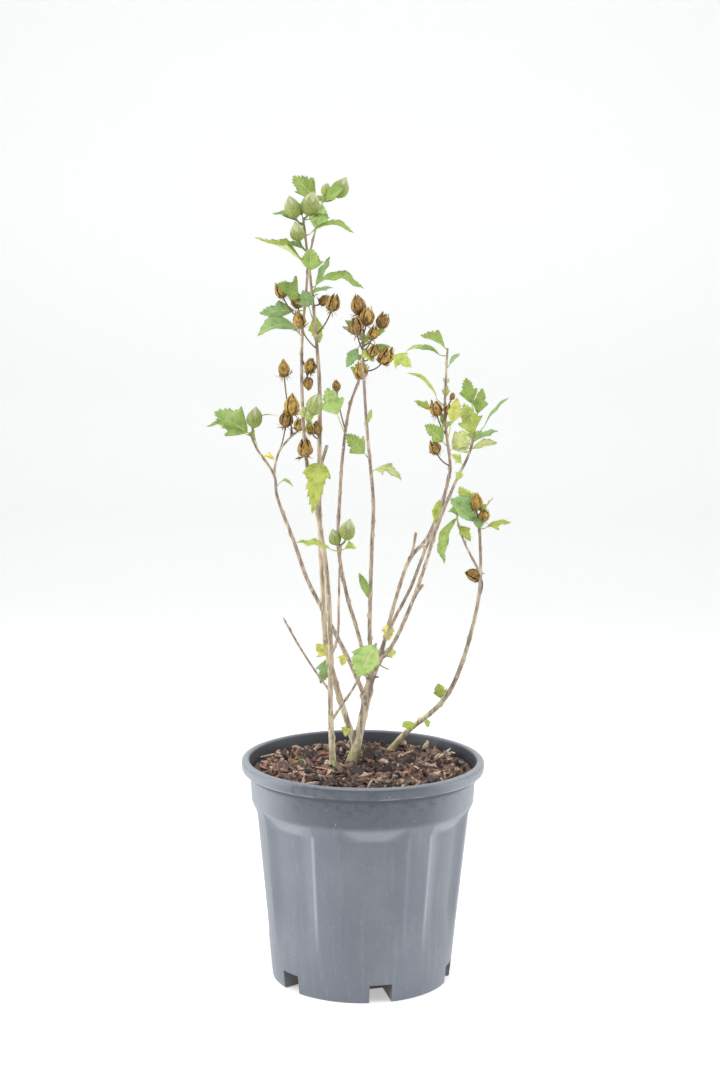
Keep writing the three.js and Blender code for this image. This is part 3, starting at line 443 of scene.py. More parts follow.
class MulchLook(bpy.types.PropertyGroup):
    """The bark mulch."""
    edge: length_of("Level", "Level of the mulch at the pot's wall", MULCH["edge"])
    chip: length_of("Chip length", "Length of a middling chip", 15)
    chips: IntProperty(name="Chips", description="How many loose chips lie on top", default=1400, min=0)
    dark: colour_of("Dark bark", "The damp dark chips", (0.06, 0.044, 0.042))
    brown: colour_of("Brown bark", "The middling chips", (0.225, 0.152, 0.12))
    red: colour_of("Red bark", "The fresh reddish chips", (0.36, 0.185, 0.125))
    tan: colour_of("Tan bark", "The dry pale chips", (0.56, 0.415, 0.305))
    pale: colour_of("Splinters", "The palest splinters of wood", (0.8, 0.68, 0.56))
    leaf: colour_of("Fallen leaf", "Bits of fallen leaf on the mulch", (0.5, 0.72, 0.28))
    feed: colour_of("Feed beads", "Slow-release feed beads", (0.8, 0.42, 0.06))


class WoodLook(bpy.types.PropertyGroup):
    """The bark of the trunk, stems and twigs."""
    relief: share_of("Relief", "How strongly buds, scars and ridges stand out", 1.0)
    old: colour_of("Old bark", "Bark on the oldest wood", (0.52, 0.435, 0.3))
    young: colour_of("Young bark", "Bark near the tips", (0.375, 0.292, 0.238))
    foot: colour_of("Foot", "The pale bark low on the plant", (0.92, 0.83, 0.6))
    scar: colour_of("Scars", "Leaf scars and pores", (0.72, 0.62, 0.46))
    algae: colour_of("Algae", "Green film near the mulch", (0.44, 0.42, 0.16))
    cut: colour_of("Cut wood", "The cut ends of pruned stubs", (0.55, 0.42, 0.27))


class LeafLook(bpy.types.PropertyGroup):
    """The leaves."""
    thickness: length_of("Thickness", "Thickness of a blade at its midrib", LEAF["thickness"])
    teeth: share_of("Teeth", "Depth of the teeth along the edge, of the length of the leaf", 0.06)
    green: colour_of("Green", "A healthy leaf", (0.32, 0.45, 0.1))
    deep: colour_of("Deep green", "An older leaf", (0.24, 0.38, 0.075))
    light: colour_of("Light green", "A young leaf", (0.46, 0.63, 0.2))
    bluish: colour_of("Bluish green", "A leaf with a bloom on it", (0.32, 0.5, 0.19))
    pale: colour_of("Pale green", "A leaf that shows its underside", (0.62, 0.66, 0.27))
    lime: colour_of("Yellow-green", "A leaf that begins to turn", (0.54, 0.63, 0.12))
    turning: colour_of("Turning", "A leaf between green and yellow", (0.74, 0.74, 0.18))
    yellow: colour_of("Yellow", "A leaf ready to fall", (0.9, 0.8, 0.17))
    withered: colour_of("Withered", "A hanging, drying leaf", (0.6, 0.67, 0.12))
    husk: colour_of("Dry", "A dried leaf", (0.52, 0.42, 0.28))
    under: colour_of("Underside", "What the underside of a leaf tends to", (0.5, 0.62, 0.3))
    rust: colour_of("Rust", "Brown spots and dry edges", (0.27, 0.14, 0.045))


class FruitLook(bpy.types.PropertyGroup):
    """The flower buds and seed capsules."""
    bud: colour_of("Bud", "The green of a bud", (0.3, 0.37, 0.1))
    fresh: colour_of("Young bud", "The green of a small bud", (0.46, 0.55, 0.14))
    petal: colour_of("Bud tip", "The furled petals at a bud's tip", (0.55, 0.59, 0.34))
    streak: colour_of("Streaks", "Brown veins and edges on buds", (0.2, 0.11, 0.045))
    husk: colour_of("Husk", "The golden dry outside of a capsule", (0.58, 0.37, 0.085))
    weathered: colour_of("Weathered husk", "The brown of an older capsule", (0.25, 0.145, 0.06))
    split: colour_of("Splits", "The dark inside and edges of a capsule", (0.07, 0.036, 0.02))
    inside: colour_of("Lining", "The pale lining of an open capsule", (0.64, 0.47, 0.22))
    stalk: colour_of("Fruit stalk", "The thin dry stalks", (0.15, 0.095, 0.065))


class StageLook(bpy.types.PropertyGroup):
    """The studio round the plant."""
    floor: colour_of("Floor", "The pale studio floor", (0.93, 0.93, 0.925))
    glow: FloatProperty(name="Floor glow", description="How strongly the floor glows", default=0.42, min=0)
    sky: FloatProperty(
        name="Surrounding light", description="Strength of the light all round", default=0.32, min=0)
    top: power_of("Top light", "Power of the large soft light overhead", 36)
    left: power_of("Left light", "Power of the soft light to the left", 23)
    right: power_of("Right light", "Power of the soft light to the right", 17)


# ---- Shapes ----------------------------------------------------------------------------------------------

def unit(vectors):
    """Vectors brought to length one."""
    return vectors / np.maximum(np.linalg.norm(vectors, axis=-1, keepdims=True), 1e-9)


def ramp(values, none, full):
    """Values mapped from 0 at none to 1 at full, and no further."""
    return np.clip((values - none) / (full - none), 0, 1)


def smooth(share):
    """A share eased in and out: three squares less two cubes."""
    return share * share * (3 - 2 * share)


def woven(*parts):
    """One or more numbers for each point, brought to one shape and put side by side."""
    return np.stack(np.broadcast_arrays(*parts), axis=-1)


def capped(rings, first, last):
    """Rings of points, or stacks of such rings, with a ring more at each end that has shrunk to a point."""
    shape = (*rings.shape[:-3], 1, *rings.shape[-2:])
    start, end = (np.broadcast_to(point[..., None, None, :], shape) for point in (first, last))
    return np.concatenate([start, rings, end], axis=-3)


def capped_values(values):
    """Values for capped rings: each end's ring has those of the ring beside it."""
    return np.concatenate([values[..., :1, :, :], values, values[..., -1:, :, :]], axis=-3)


def course_line(points, count=400):
    """A centripetal Catmull-Rom curve: between two points a cubic, whose end slopes come from the neighbours
    and are weighed by the square roots of the distances. Beyond its ends it goes straight on."""
    p = np.array(points, float)
    p = np.vstack([2 * p[0] - p[1], p, 2 * p[-1] - p[-2]])
    t = np.linspace(0, len(points) - 1, count)
    first = np.minimum(t.astype(int), len(points) - 2)
    w = (t - first)[:, None]
    a, b, c, d = (p[first + k] for k in range(4))
    steps = (b - a, c - b, d - c)
    ab, bc, cd = (np.sqrt(np.linalg.norm(step, axis=1, keepdims=True)) for step in steps)
    leave = ((b - a) / ab - (c - a) / (ab + bc) + (c - b) / bc) * bc
    arrive = ((c - b) / bc - (d - b) / (bc + cd) + (d - c) / cd) * bc
    square, cube = 3 * (c - b) - 2 * leave - arrive, 2 * (b - c) + leave + arrive
    return b + leave * w + square * w**2 + cube * w**3


class Stem:
    """A stem's line and thickness, read by its share of the length or by height."""

    def __init__(self, course, girth):
        self.line = course_line(course)
        run = np.concatenate([[0], np.cumsum(np.linalg.norm(np.diff(self.line, axis=0), axis=1))])
        self.length = run[-1]
        self.shares = run / run[-1]
        self.girth = np.array(girth, float)

    def share(self, height):
        """Share of the length at a height."""
        return np.interp(height, self.line[:, 2], self.shares)

    def place(self, share):
        """The point or points at a share of the length."""
        return np.stack([np.interp(share, self.shares, self.line[:, k]) for k in range(3)], axis=-1)

    def radius(self, share):
        """The radius there, from thicknesses spread evenly along the stem."""
        return np.interp(share, np.linspace(0, 1, len(self.girth)), self.girth) / 2


STEMS = {name: Stem(*size) for name, size in STEM.items()}
FORK_FOOT = STEMS[FORK["stem"]].place(STEMS[FORK["stem"]].share(FORK["from"]))
STEMS["left_bough_fork"] = Stem([tuple(FORK_FOOT), *FORK["course"]], FORK["girth"])


def across(line):
    """Two directions square to a line at each of its points: one nearest the axis that the line follows
    least, and one square to both."""
    along = unit(np.gradient(line, axis=0))
    least = np.eye(3)[np.argmin(np.abs(along).mean(axis=0))]
    normal = unit(least - along * (along @ least)[:, None])
    return normal, np.cross(along, normal)


def tube(line, radii, sides, relief=1.0):
    """A round limb: at each point of its line a circle square to the line, of that point's radius times the
    relief at that ring and angle, and a ring of no radius to close each end."""
    normal, binormal = across(line)
    angle = np.linspace(0, TURN, sides, endpoint=False)[None, :, None]
    reach = (np.reshape(radii, (-1, 1)) * relief)[..., None]
    rings = line[:, None] + reach * (np.cos(angle) * normal[:, None] + np.sin(angle) * binormal[:, None])
    return capped(rings, line[0], line[-1])


def bezier(start, knee, end, count):
    """A curve of the second degree from start to end, pulled towards its knee."""
    t = np.linspace(0, 1, count)[:, None]
    return (1 - t) ** 2 * start + 2 * t * (1 - t) * knee + t**2 * end


class Form:
    """Closed surfaces gathered into one mesh. Each is a grid of points, joined to its neighbours along the
    rows and round from the last column to the first. Its values are triples, one for all or one for each
    point."""

    def __init__(self):
        self.points, self.faces, self.values, self.count = [], [], {}, 0

    def add(self, grid, **values):
        """Adds one grid of rows and columns of points, or a stack of such grids."""
        grid = grid.reshape(-1, *grid.shape[-3:])
        index = self.count + np.arange(grid[..., 0].size).reshape(grid.shape[:3])
        turned = np.roll(index, -1, axis=2)
        quads = np.stack([index[:, :-1], turned[:, :-1], turned[:, 1:], index[:, 1:]], axis=-1)
        self.faces.append(quads.reshape(-1, 4))
        self.points.append(grid.reshape(-1, 3))
        for name, value in values.items():
            full = np.broadcast_to(np.asarray(value, float), grid.shape)
            self.values.setdefault(name, []).append(full.reshape(-1, 3))
        self.count += index.size

    def piece(self, name, material, crease=None):
        """The gathered surfaces as an object: doubles merged, faces turned outwards, and shaded smooth except
        where two faces meet more sharply than the crease."""
        data = bpy.data.meshes.new(name)
        points = np.concatenate(self.points).astype(np.float32) * np.float32(MM)
        faces = np.concatenate(self.faces).astype(np.int32)
        data.vertices.add(len(points))
        data.vertices.foreach_set("co", points.ravel())
        data.loops.add(faces.size)
        data.loops.foreach_set("vertex_index", faces.ravel())
        data.polygons.add(len(faces))
        data.polygons.foreach_set("loop_start", np.arange(0, faces.size, 4, dtype=np.int32))
        for key, values in self.values.items():
            attribute = data.attributes.new(key, "FLOAT_VECTOR", "POINT")
            attribute.data.foreach_set("vector", np.concatenate(values).astype(np.float32).ravel())
        data.update(calc_edges=True)
        welded = bmesh.new()
        welded.from_mesh(data)
        bmesh.ops.remove_doubles(welded, verts=welded.verts, dist=WELD)
        bmesh.ops.recalc_face_normals(welded, faces=welded.faces)
        welded.to_mesh(data)
        welded.free()
        data.shade_smooth()
        if crease:
            data.set_sharp_from_angle(angle=radians(crease))
        data.materials.append(material)
        made = bpy.data.objects.new(name, data)
        bpy.context.scene.collection.objects.link(made)
        return made


def dress(made, nodes):
    """Puts a piece on the plant, in place of the frame's nodes that it stands for."""
    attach(made, "root")
    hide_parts(*nodes)


# ---- Pot and mulch ---------------------------------------------------------------------------------------

def recess_offset(angle):
    """The angle from the middle of the nearest recess."""
    period = 360 / RECESS["count"]
    return np.abs((angle - RECESS["first"] + period / 2) % period - period / 2)


def recess_depth(height, angle, depth):
    """How far the wall is pressed in: the depth, times a ramp that fades it out towards the foot, times the
    lesser of two ramps, a bowed one from each recess's mouth to its floor and a straight one down from the
    collar. Where the two are equal the slopes meet in a mitre, a little eased."""
    off = recess_offset(angle)
    sides = 1 - (1 - ramp(off, RECESS["half_mouth"], RECESS["half_floor"])) ** 1.6
    slope = ramp(height, RECESS["slope_from"], RECESS["top"])
    fade = ramp(height, RECESS["bottom"], RECESS["fade_from"])
    least = np.minimum(sides, slope)
    return depth * fade * (0.7 * least + 0.3 * smooth(least))


# Painted highlight in a recess: how strong it is on the top slope; how wide its line along each edge is, in
# degrees, and how strong all round the pot; and the angles from the front from none to full, and from none
# back to full.
RECESS_HIGHLIGHT = {"slope": 0.62, "line": 1.1, "all_round": 0.1, "grows": (24.5, 26.5), "fades": (62, 50)}


def recess_painted_highlight(height, angle):
    """Where a recess gets painted highlight: on the slope at its top, and in a line along each edge of its
    mouth, which is faint but for the edges between about 25 and 60 degrees on either side of the front."""
    off = recess_offset(angle)
    turned = np.abs((angle + 180) % 360 - 180)
    low = ramp(height, RECESS["slope_from"] - 1, RECESS["slope_from"] - 4)
    slope = low * ramp(height, RECESS["top"] - 3, RECESS["top"])
    narrowing = 9 * ramp(height, RECESS["slope_from"], RECESS["top"])
    within = ramp(off, RECESS["half_mouth"] - 1.5, RECESS["half_mouth"] - 2 - 1.2 * narrowing)
    line = np.exp(-((off - RECESS["half_mouth"]) / RECESS_HIGHLIGHT["line"]) ** 2)
    line = line * ramp(height, RECESS["top"] + 3, RECESS["top"])
    strong = ramp(turned, *RECESS_HIGHLIGHT["grows"]) * ramp(turned, *RECESS_HIGHLIGHT["fades"])
    line = line * (RECESS_HIGHLIGHT["all_round"] + (1 - RECESS_HIGHLIGHT["all_round"]) * strong)
    line = line * ramp(height, RECESS["bottom"], RECESS["fade_from"])
    return np.maximum(RECESS_HIGHLIGHT["slope"] * slope * within, line)


def taper(height, foot):
    """Radius of the plain wall at a height, widening evenly from the foot."""
    return foot + (POT["body"] - foot) * height / POT["body_top"]


# Heights of the rows up the outside of the body and down its inside, closest where the wall bends.
BODY_ROWS = (26, 34, 42, 50, 58, 66, 74, 82, 90, 102, 114, 126, 138, 150, 160, 166, 170, 172, 173.2, 174.4)
INNER_ROWS = (180, 176, 173, 150, 120, 90, 42, 30)
PRESSED_BELOW = 190  # rows from this height up don't follow the recesses


def pot_rows(foot):
    """The pot's section from the middle of its underside, out, up, over the rim, down inside and back to the
    middle. Each row holds radius, height, whether it follows the recesses, the same two inside a drain
    channel, and that channel's half width and inner end."""
    half, height, inner = DRAIN["width"] / 2, DRAIN["height"], DRAIN["inner"]
    thick, floor, cover = POT["wall"], POT["floor"], DRAIN["cover"]
    walls = [(r, 0, 0, r, 0) for r in (0, 18, 36)]
    below = [(inner, 0), (62, 0), (74, 0), (84, 0), (foot - 1.2, 0), (foot, 1.2), (taper(9, foot), 9)]
    into = [(inner, 0), (inner, 8), (inner, height), (64, height), (76, height), (86, height), (91, height)]
    walls += [(r, z, 0, q, h) for (r, z), (q, h) in zip(below, into)]
    walls += [(taper(z, foot), z, 1, taper(z, foot), z) for z in (height, *BODY_ROWS)]
    walls += [(r, z, 1 if z < PRESSED_BELOW else 0, r, z) for r, z in COLLAR_AND_RIM[:-1]]
    inside = [(taper(z, foot) - thick, z, 1, taper(z, foot) - thick, z) for z in INNER_ROWS]
    top, end = height + cover, inner - cover
    start = (taper(top, foot) - thick, top)
    down = [start, (taper(12, foot) - thick, 12), (foot - thick, floor)]
    down += [(r, floor) for r in (80, 64, end)]
    over = [start, (82, top), (66, top), (end, top), (end, 12), (end, floor)]
    inside += [(r, z, 0, q, h) for (r, z), (q, h) in zip(down, over)]
    inside += [(r, floor, 0, r, floor) for r in (30, 0)]
    outer = [(*row, half, inner) for row in walls]
    return np.array(outer + [(*row, half + cover, end) for row in inside], float)


def pot_columns(between=74, within=9):
    """The pot's columns: those across each drain opening and those on the wall between two openings. Each is
    an angle, plus a share of the angle that half an opening takes up, and says whether it lies in the
    opening."""
    angles = np.array(DRAIN["angles"], float)
    columns = []
    for here, there in zip(angles, np.append(angles[1:], angles[0] + 360)):
        share = np.linspace(-1, 1, within)
        columns.append(np.stack([np.full(within, here), share, np.ones(within)]))
        share = np.linspace(0, 1, between)
        columns.append(np.stack([here + share * (there - here), 1 - 2 * share, np.zeros(between)]))
    return np.concatenate(columns, axis=1)


def polar(radius, turn):
    """How far right and back a point lies, from its radius and its turn from the front."""
    return radius * np.sin(turn), -radius * np.cos(turn)


def pot_surface(look):
    """The pot as one closed surface of rows and columns. A point's angle is its column's own plus a share of
    the arcsine of the opening's half width over the radius, so the channels have parallel sides. Columns
    inside an opening follow the channel's section, and all the others follow the wall's. The values say how
    far a point is inside the mouth, how deep in a channel, and how much painted highlight in a recess."""
    foot = look.foot / MM
    rows = pot_rows(foot)[:, None, :]
    radius, height, follows, channel_radius, channel_height, half, inner = np.moveaxis(rows, 2, 0)
    angle, share, opening = pot_columns()
    r = np.where(opening, channel_radius, radius)
    z = np.where(opening, channel_height, height)
    angle = angle + share * np.degrees(np.arcsin(half / np.maximum(r, inner)))
    r = r - recess_depth(z, angle, look.recess / MM) * follows
    past_rim = np.arange(len(rows))[:, None] > np.argmax(height[:, 0] == POT["height"])
    mouth = past_rim * ramp(z, POT["height"], POT["height"] - 2.5)
    channel = ~past_rim * (z < DRAIN["height"] + 1) * ramp(foot + z * 0.1 - r, 0.6, 5)
    # Painted highlight on the recesses' top slopes and along their edges.
    dust_and_highlight_amount = ~past_rim * recess_painted_highlight(z, angle) * follows
    return woven(*polar(r, np.radians(angle)), z), woven(mouth, channel, dust_and_highlight_amount)


def mulch_level(x, y, edge=MULCH["edge"]):
    """Level of the mulch: highest in the middle, falling off with the square of the distance, and rolling
    gently."""
    dome = MULCH["crown"] * (1 - (x * x + y * y) / POT["mouth"]**2)
    across_roll, back_roll = MULCH["rolls"]
    return edge + dome + MULCH["lump"] * np.sin(x / across_roll) * np.cos(y / back_roll)


def mulch_surface(look, dice):
    """The filling: walls just inside the pot's, and a top that adds ripples of several lengths and directions
    to the mulch's level."""
    turn = np.linspace(0, TURN, 180, endpoint=False)[None]
    gap = POT["wall"] + 0.3
    bottom = MULCH["bottom"]
    section = [(0, bottom), (60, bottom)]
    section += [(taper(z, POT["foot"]) - gap, z) for z in (bottom, 42, 90, 140, 173, 180)]
    section += [(115.3 - gap, 188.5), (116 - gap, 200), (116.7 - gap, 212)]
    radius, height = np.array(section).T[..., None]
    pressed = recess_depth(height, np.degrees(turn), RECESS["depth"])
    r = radius - pressed - 1.2 * (height == POT["body_top"])
    side = woven(*polar(r, turn), height)
    reach = np.linspace(1, 0, 46)[:, None] * (116.5 - gap)
    x, y = polar(reach, turn)
    waves = dice.uniform((3.5, 0, 0), (14, TURN, TURN), (14, 3))
    size, heading, phase = waves.T[:, :, None, None]
    along = x * np.cos(heading) + y * np.sin(heading)
    ripple = (size * 0.05 * np.sin(along * TURN / size + phase)).sum(axis=0)
    top = woven(x, y, mulch_level(x, y, look.edge / MM) - 1.5 + ripple * (reach > 0))
    return np.concatenate([side, top])


def turned_in(first, second, angle):
    """Turning matrices in the plane of two axes, one for each angle."""
    turns = np.repeat(np.eye(3)[..., None], len(angle), axis=2)
    turns[first, first] = turns[second, second] = np.cos(angle)
    turns[first, second], turns[second, first] = -np.sin(angle), np.sin(angle)
    return turns


def tumbled(dice, count, tilt):
    """Turning matrices: any heading, after a small tilt about two level axes."""
    yaw = dice.uniform(0, TURN, count)
    pitch, roll = dice.normal(0, tilt, (2, count))
    turns = turned_in(0, 1, yaw), turned_in(2, 0, pitch), turned_in(1, 2, roll)
    return np.einsum("ijn,jkn,kln->nil", *turns)


def chip_stack(dice, length, width, thickness, centres, tilt):
    """Bark chips, all at once: each is a slab of a few corners, which are jittered, with a chamfered upper
    edge, tumbled and set down."""
    count, corners = len(centres), CHIP["corners"]
    corner = np.linspace(0, TURN, corners, endpoint=False)
    jitter = dice.uniform(0.72, 1.12, (count, corners))
    squared = np.sign(np.cos(corner)) * np.abs(np.cos(corner)) ** 0.85
    plan = woven(squared * jitter * length[:, None] / 2, np.sin(corner) * jitter * width[:, None] / 2)
    shares = np.array([0, 0.92, 1, 0.84, 0])[None, :, None, None]
    lifts = np.array([-0.5, -0.5, 0.1, 0.5, 0.5])[None, :, None] * thickness[:, None, None]
    wobble = dice.normal(0, 0.16, (count, 1, corners)) * thickness[:, None, None] * (shares[..., 0] > 0)
    slab = np.concatenate([plan[:, None] * shares, (lifts + wobble)[..., None]], axis=-1)
    return np.einsum("nij,nrcj->nrci", tumbled(dice, count, tilt), slab) + centres[:, None, None]


def scattered(dice, count, reach):
    """Places spread evenly over a disc, each within its own reach, on the mulch."""
    r = reach * np.sqrt(dice.uniform(0, 1, count))
    x, y = polar(r, dice.uniform(0, TURN, count))
    return woven(x, y, mulch_level(x, y))


def place_paleness(places):
    """How much paler chips are by where they lie: most on the left, some on the right, least in front."""
    right, front = places[:, 0], -places[:, 1]
    return 1.03 + 0.68 * ramp(-right, 20, 70) + 0.2 * ramp(right, 20, 70) - 0.18 * ramp(front, 30, 80)


def bead_stack(dice, centres, radius):
    """Small round beads, all at once: a sphere of latitudes and longitudes, scaled and set down."""
    polar_angle = np.linspace(0, np.pi, 7)[:, None]
    turn = np.linspace(0, TURN, 8, endpoint=False)[None]
    level = np.sin(polar_angle)
    ball = woven(level * np.cos(turn), level * np.sin(turn), np.cos(polar_angle))
    size = radius * dice.uniform(0.85, 1.15, len(centres))
    return ball[None] * size[:, None, None, None] + centres[:, None, None]


# ---- Wood ------------------------------------------------------------------------------------------------

# Bark, in millimetres: the gap between the mesh's rings, the least and most gap between a limb's nodes, how
# far round each node's scar sits from the last in degrees, how far the nodes' rings and scars stand out, and
# the same for ripples as a share of the limb's radius.
BARK = {"step": 1.8, "gaps": (17, 33), "twist": 137.5, "ring": 0.22, "scar": 1.1, "ripple": 0.09}


def bark_limb(stem, start, relief, dice, age, knots=()):
    """One limb with its bark: the stem's own tube, which swells at its foot and at its knots and carries at
    each node a soft ring and a bud scar, turned by a steady angle from one node to the next. Ripples run
    round and along it. Returns its grid and its values: age, scar and cut."""
    rings = max(10, int(stem.length * (1 - start) / BARK["step"]))
    share = np.linspace(start, 1, rings)
    line, radii = stem.place(share), stem.radius(share)
    sides = 22 if radii.max() > 2.6 else 14
    run = share[:, None] * stem.length
    turn = np.linspace(0, TURN, sides, endpoint=False)
    least, most = BARK["gaps"]
    nodes = start * stem.length - 6 + np.cumsum(dice.uniform(least, most, int(stem.length / least) + 2))
    facing = radians(BARK["twist"]) * np.arange(len(nodes)) + dice.uniform(0, TURN)
    size = dice.uniform(0.5, 1.3, len(nodes))
    ring = np.exp(-((run - nodes) / 2.4) ** 2) @ size
    bump = np.exp(-((run - nodes - 1) / 1.6) ** 2) * size
    scar = bump @ (np.clip(np.cos(turn[:, None] - facing), 0, 1) ** 4).T
    waves = dice.uniform((4, 0, 0.3), (34, TURN, 1), (9, 3))
    lobes = dice.integers(1, 5, 9)
    phase = TURN * run[..., None] / waves[:, 0] + lobes * turn[:, None] + waves[:, 1]
    ripple = (np.sin(phase) * waves[:, 2]).mean(axis=2)
    swell = 0.22 * radii[:, None] * np.exp(-(run - run[0]) / 5)
    grain = BARK["ring"] * ring[:, None] + BARK["scar"] * scar + BARK["ripple"] * radii[:, None] * ripple
    raised = swell + relief * grain
    normal, binormal = across(line)
    arms = np.cos(turn)[:, None] * normal[:, None] + np.sin(turn)[:, None] * binormal[:, None]
    for height, way, rise, spread in knots:
        near = np.exp(-((run - stem.share(height) * stem.length) / spread) ** 2)
        towards = np.clip(arms @ unit(np.array([*way, 0.0])), 0, 1)
        raised = raised + rise * near * towards**2
        scar = scar + 0.5 * near**2 * towards**4
    old = np.clip(age - 0.55 * share[:, None] + 0.1 * ripple, 0, 1)
    values = woven(old, np.clip(scar, 0, 1), 0)
    return tube(line, radii, sides, 1 + raised / radii[:, None]), capped_values(values)


def stub_limb(root, reach, girth, dice):
    """A pruned stub: a short limb with a swollen foot and a ripple. A slight one thins towards its end, and a
    stout one has a flat cut there."""
    rings, age = 14, 0.45
    t = np.linspace(0, 1, rings)
    bow = dice.normal(0, 0.25, (1, 3)) * np.sin(np.pi * t[:, None])
    line = root + t[:, None] * np.array(reach) + bow
    radii = girth / 2 * (1 + 0.3 * np.exp(-t * 6) + 0.07 * np.sin(9 * t) - 0.3 * (girth < 2) * t)
    values = np.zeros((rings + 2, 1, 3))
    values[:, :, 0] = age
    values[-1, :, 2] = girth > 2
    return tube(line, radii, 12), values


# ---- Leaves ----------------------------------------------------------------------------------------------

# The edge of a three-lobed leaf: where a side vein leaves the midrib, and where it meets the edge, along the
# leaf and out from the midrib, all as shares of its length.
LEAF_EDGE = np.array([
    (0.0, 0.0, 0.0), (0.04, 0.06, 0.07), (0.1, 0.19, 0.19), (0.18, 0.36, 0.33), (0.25, 0.5, 0.43),
    (0.31, 0.51, 0.3), (0.38, 0.56, 0.22), (0.47, 0.66, 0.23), (0.58, 0.76, 0.19), (0.72, 0.86, 0.13),
    (0.86, 0.94, 0.06), (1.0, 1.0, 0.0)])
LEAF_ROWS = np.linspace(0, 1, 39)
HALF_COLUMNS = np.linspace(-1, 1, 9)
LEAF_COLUMNS = np.concatenate([HALF_COLUMNS, HALF_COLUMNS[-2:0:-1]])
LEAF_SIDES = np.where(np.arange(len(LEAF_COLUMNS)) < len(HALF_COLUMNS), 1.0, -1.0)


def leaf_frame(root, row):
    """Where a leaf's blade begins, how long it is, and its three directions: along it, out to its side and up
    from its face. The face looks up, or with more roll to the front."""
    tip = root + np.array(row["reach"], float)
    base = root + (tip - root) * row["petiole"]
    size = np.linalg.norm(tip - base)
    axis = (tip - base) / size
    roll = radians(row["roll"])
    face = np.array([0, -np.sin(roll), np.cos(roll)])
    face = unit(face - axis * (face @ axis))
    return base, size, axis, np.cross(face, axis), face


def leaf_surface(root, row, look, dice):
    """A leaf's blade, upper and lower side in one closed surface. Each row of points follows a side vein from
    the midrib to the edge, whose lobes and teeth come from the vein's own share of the leaf. The blade is
    folded up along the midrib, arched along its length, and waved and curled towards its edges. Returns the
    grid, its values (vein, way out, underside) and two points on the midrib."""
    base, size, axis, side, face = leaf_frame(root, row)
    vein, out = LEAF_ROWS[:, None], LEAF_COLUMNS[None]
    lobing = dice.uniform(0.6, 1.15) * row["lobes"]
    even = 0.34 * np.sin(np.pi * LEAF_ROWS**0.66) ** 1.1
    reach = np.interp(LEAF_ROWS, LEAF_EDGE[:, 0], LEAF_EDGE[:, 2])
    reach = (even + (reach - even) * lobing)[:, None]
    forward = np.interp(LEAF_ROWS, LEAF_EDGE[:, 0], LEAF_EDGE[:, 1])[:, None]
    saw = (vein * LEAF["side_veins"] + dice.uniform(0, 1) + 0.3 * np.sign(out)) % 1
    tooth = look.teeth * (0.4 + 0.6 * row["lobes"]) * (saw**1.5 - 0.45)
    tooth = tooth * ramp(vein, 0.08, 0.3) * ramp(vein, 1.0, 0.8)
    swing = 1 + 0.1 * dice.normal() * np.sign(out)
    edge = np.abs(out) ** 4
    sideways = out * np.clip(reach * swing, 0, None) * row["width"]
    sideways = sideways + np.sign(out) * edge * tooth * min(row["width"], 1)
    along = vein + (forward - vein) * np.abs(out) + edge * tooth
    along = along - np.clip(along - 1, 0, None)
    hang, curl = dice.uniform(0, 0.08), dice.normal(0, 0.35)
    height, pace, phase = (dice.uniform(*bounds) for bounds in ((0.015, 0.045), (1.4, 2.6), (0, TURN)))
    wave = height * np.sin(TURN * (pace * along) + phase)
    quilt = 0.006 * np.cos(TURN * LEAF["side_veins"] * vein) * np.sin(np.pi * np.abs(out))
    bow = lambda t: 4 * row["arch"] * t * (1 - t) - hang * t**3 * (1 - t) * 4
    rise = bow(along) + LEAF["fold"] * (np.sqrt(sideways**2 + 0.0009) - 0.03) + curl * sideways**2 * 2
    rise = rise + wave * out**2 * np.sin(np.pi * vein) + quilt
    lens = np.sqrt(np.clip(1 - out**2, 0, 1)) * np.sqrt(np.clip(reach / 0.4, 0, 1))
    lift = LEAF_SIDES * lens * look.thickness / MM / 2
    grid = (base + (along * size)[..., None] * axis + (sideways * size)[..., None] * side
            + (rise * size + lift)[..., None] * face)
    under = np.where(np.abs(out) > 0.99, 0.5, 0.5 - 0.5 * LEAF_SIDES)
    t = np.array([0.1, 0.28])[:, None]
    return grid, woven(vein, out, under), base + t * size * axis + bow(t) * size * face


def petiole_line(root, base, middle):
    """A leaf's stalk: a bow from the stem to the blade, and on under the start of its midrib."""
    bow = bezier(root, (root + base) / 2 + np.array([0, 0, -0.8]), base, 7)
    return np.concatenate([bow, middle - np.array([0, 0, 0.15])])


# ---- Buds and capsules -----------------------------------------------------------------------------------

def standing(root, row):
    """Where a bud or fruit begins, the way it points, and its two directions across."""
    reach = np.array(row["reach"], float)
    axis = unit(reach)
    axis = unit(axis + np.array([0, 0, np.sign(reach[2]) * row["upturn"]]))
    normal = unit(np.cross((0.2, 1, 0.1), axis))
    return root + reach - axis * row["length"], axis, normal, np.cross(axis, normal)


def stalk_line(root, base, axis, size):
    """A stalk that arrives in line with what it carries, its end sunk well in."""
    knee = base - axis * ARRIVAL["knee"] * np.linalg.norm(base - root)
    return bezier(root, knee, base + axis * ARRIVAL["sunk"] * size, 14)


def around(base, axis, normal, binormal, radius, height, turn):
    """Points at a radius, a height along the axis and a turn about it."""
    radius, height, turn = (part[..., None] for part in np.broadcast_arrays(radius, height, turn))
    return base + height * axis + radius * (np.cos(turn) * normal + np.sin(turn) * binormal)


# A bud's outline: the share of its length, and the radius there as a share of the widest.
BUD_PROFILE = np.array([
    (0, 0), (0.02, 0.3), (0.08, 0.62), (0.18, 0.87), (0.32, 1), (0.48, 0.98), (0.64, 0.84), (0.78, 0.6),
    (0.89, 0.34), (0.96, 0.14), (1, 0)])


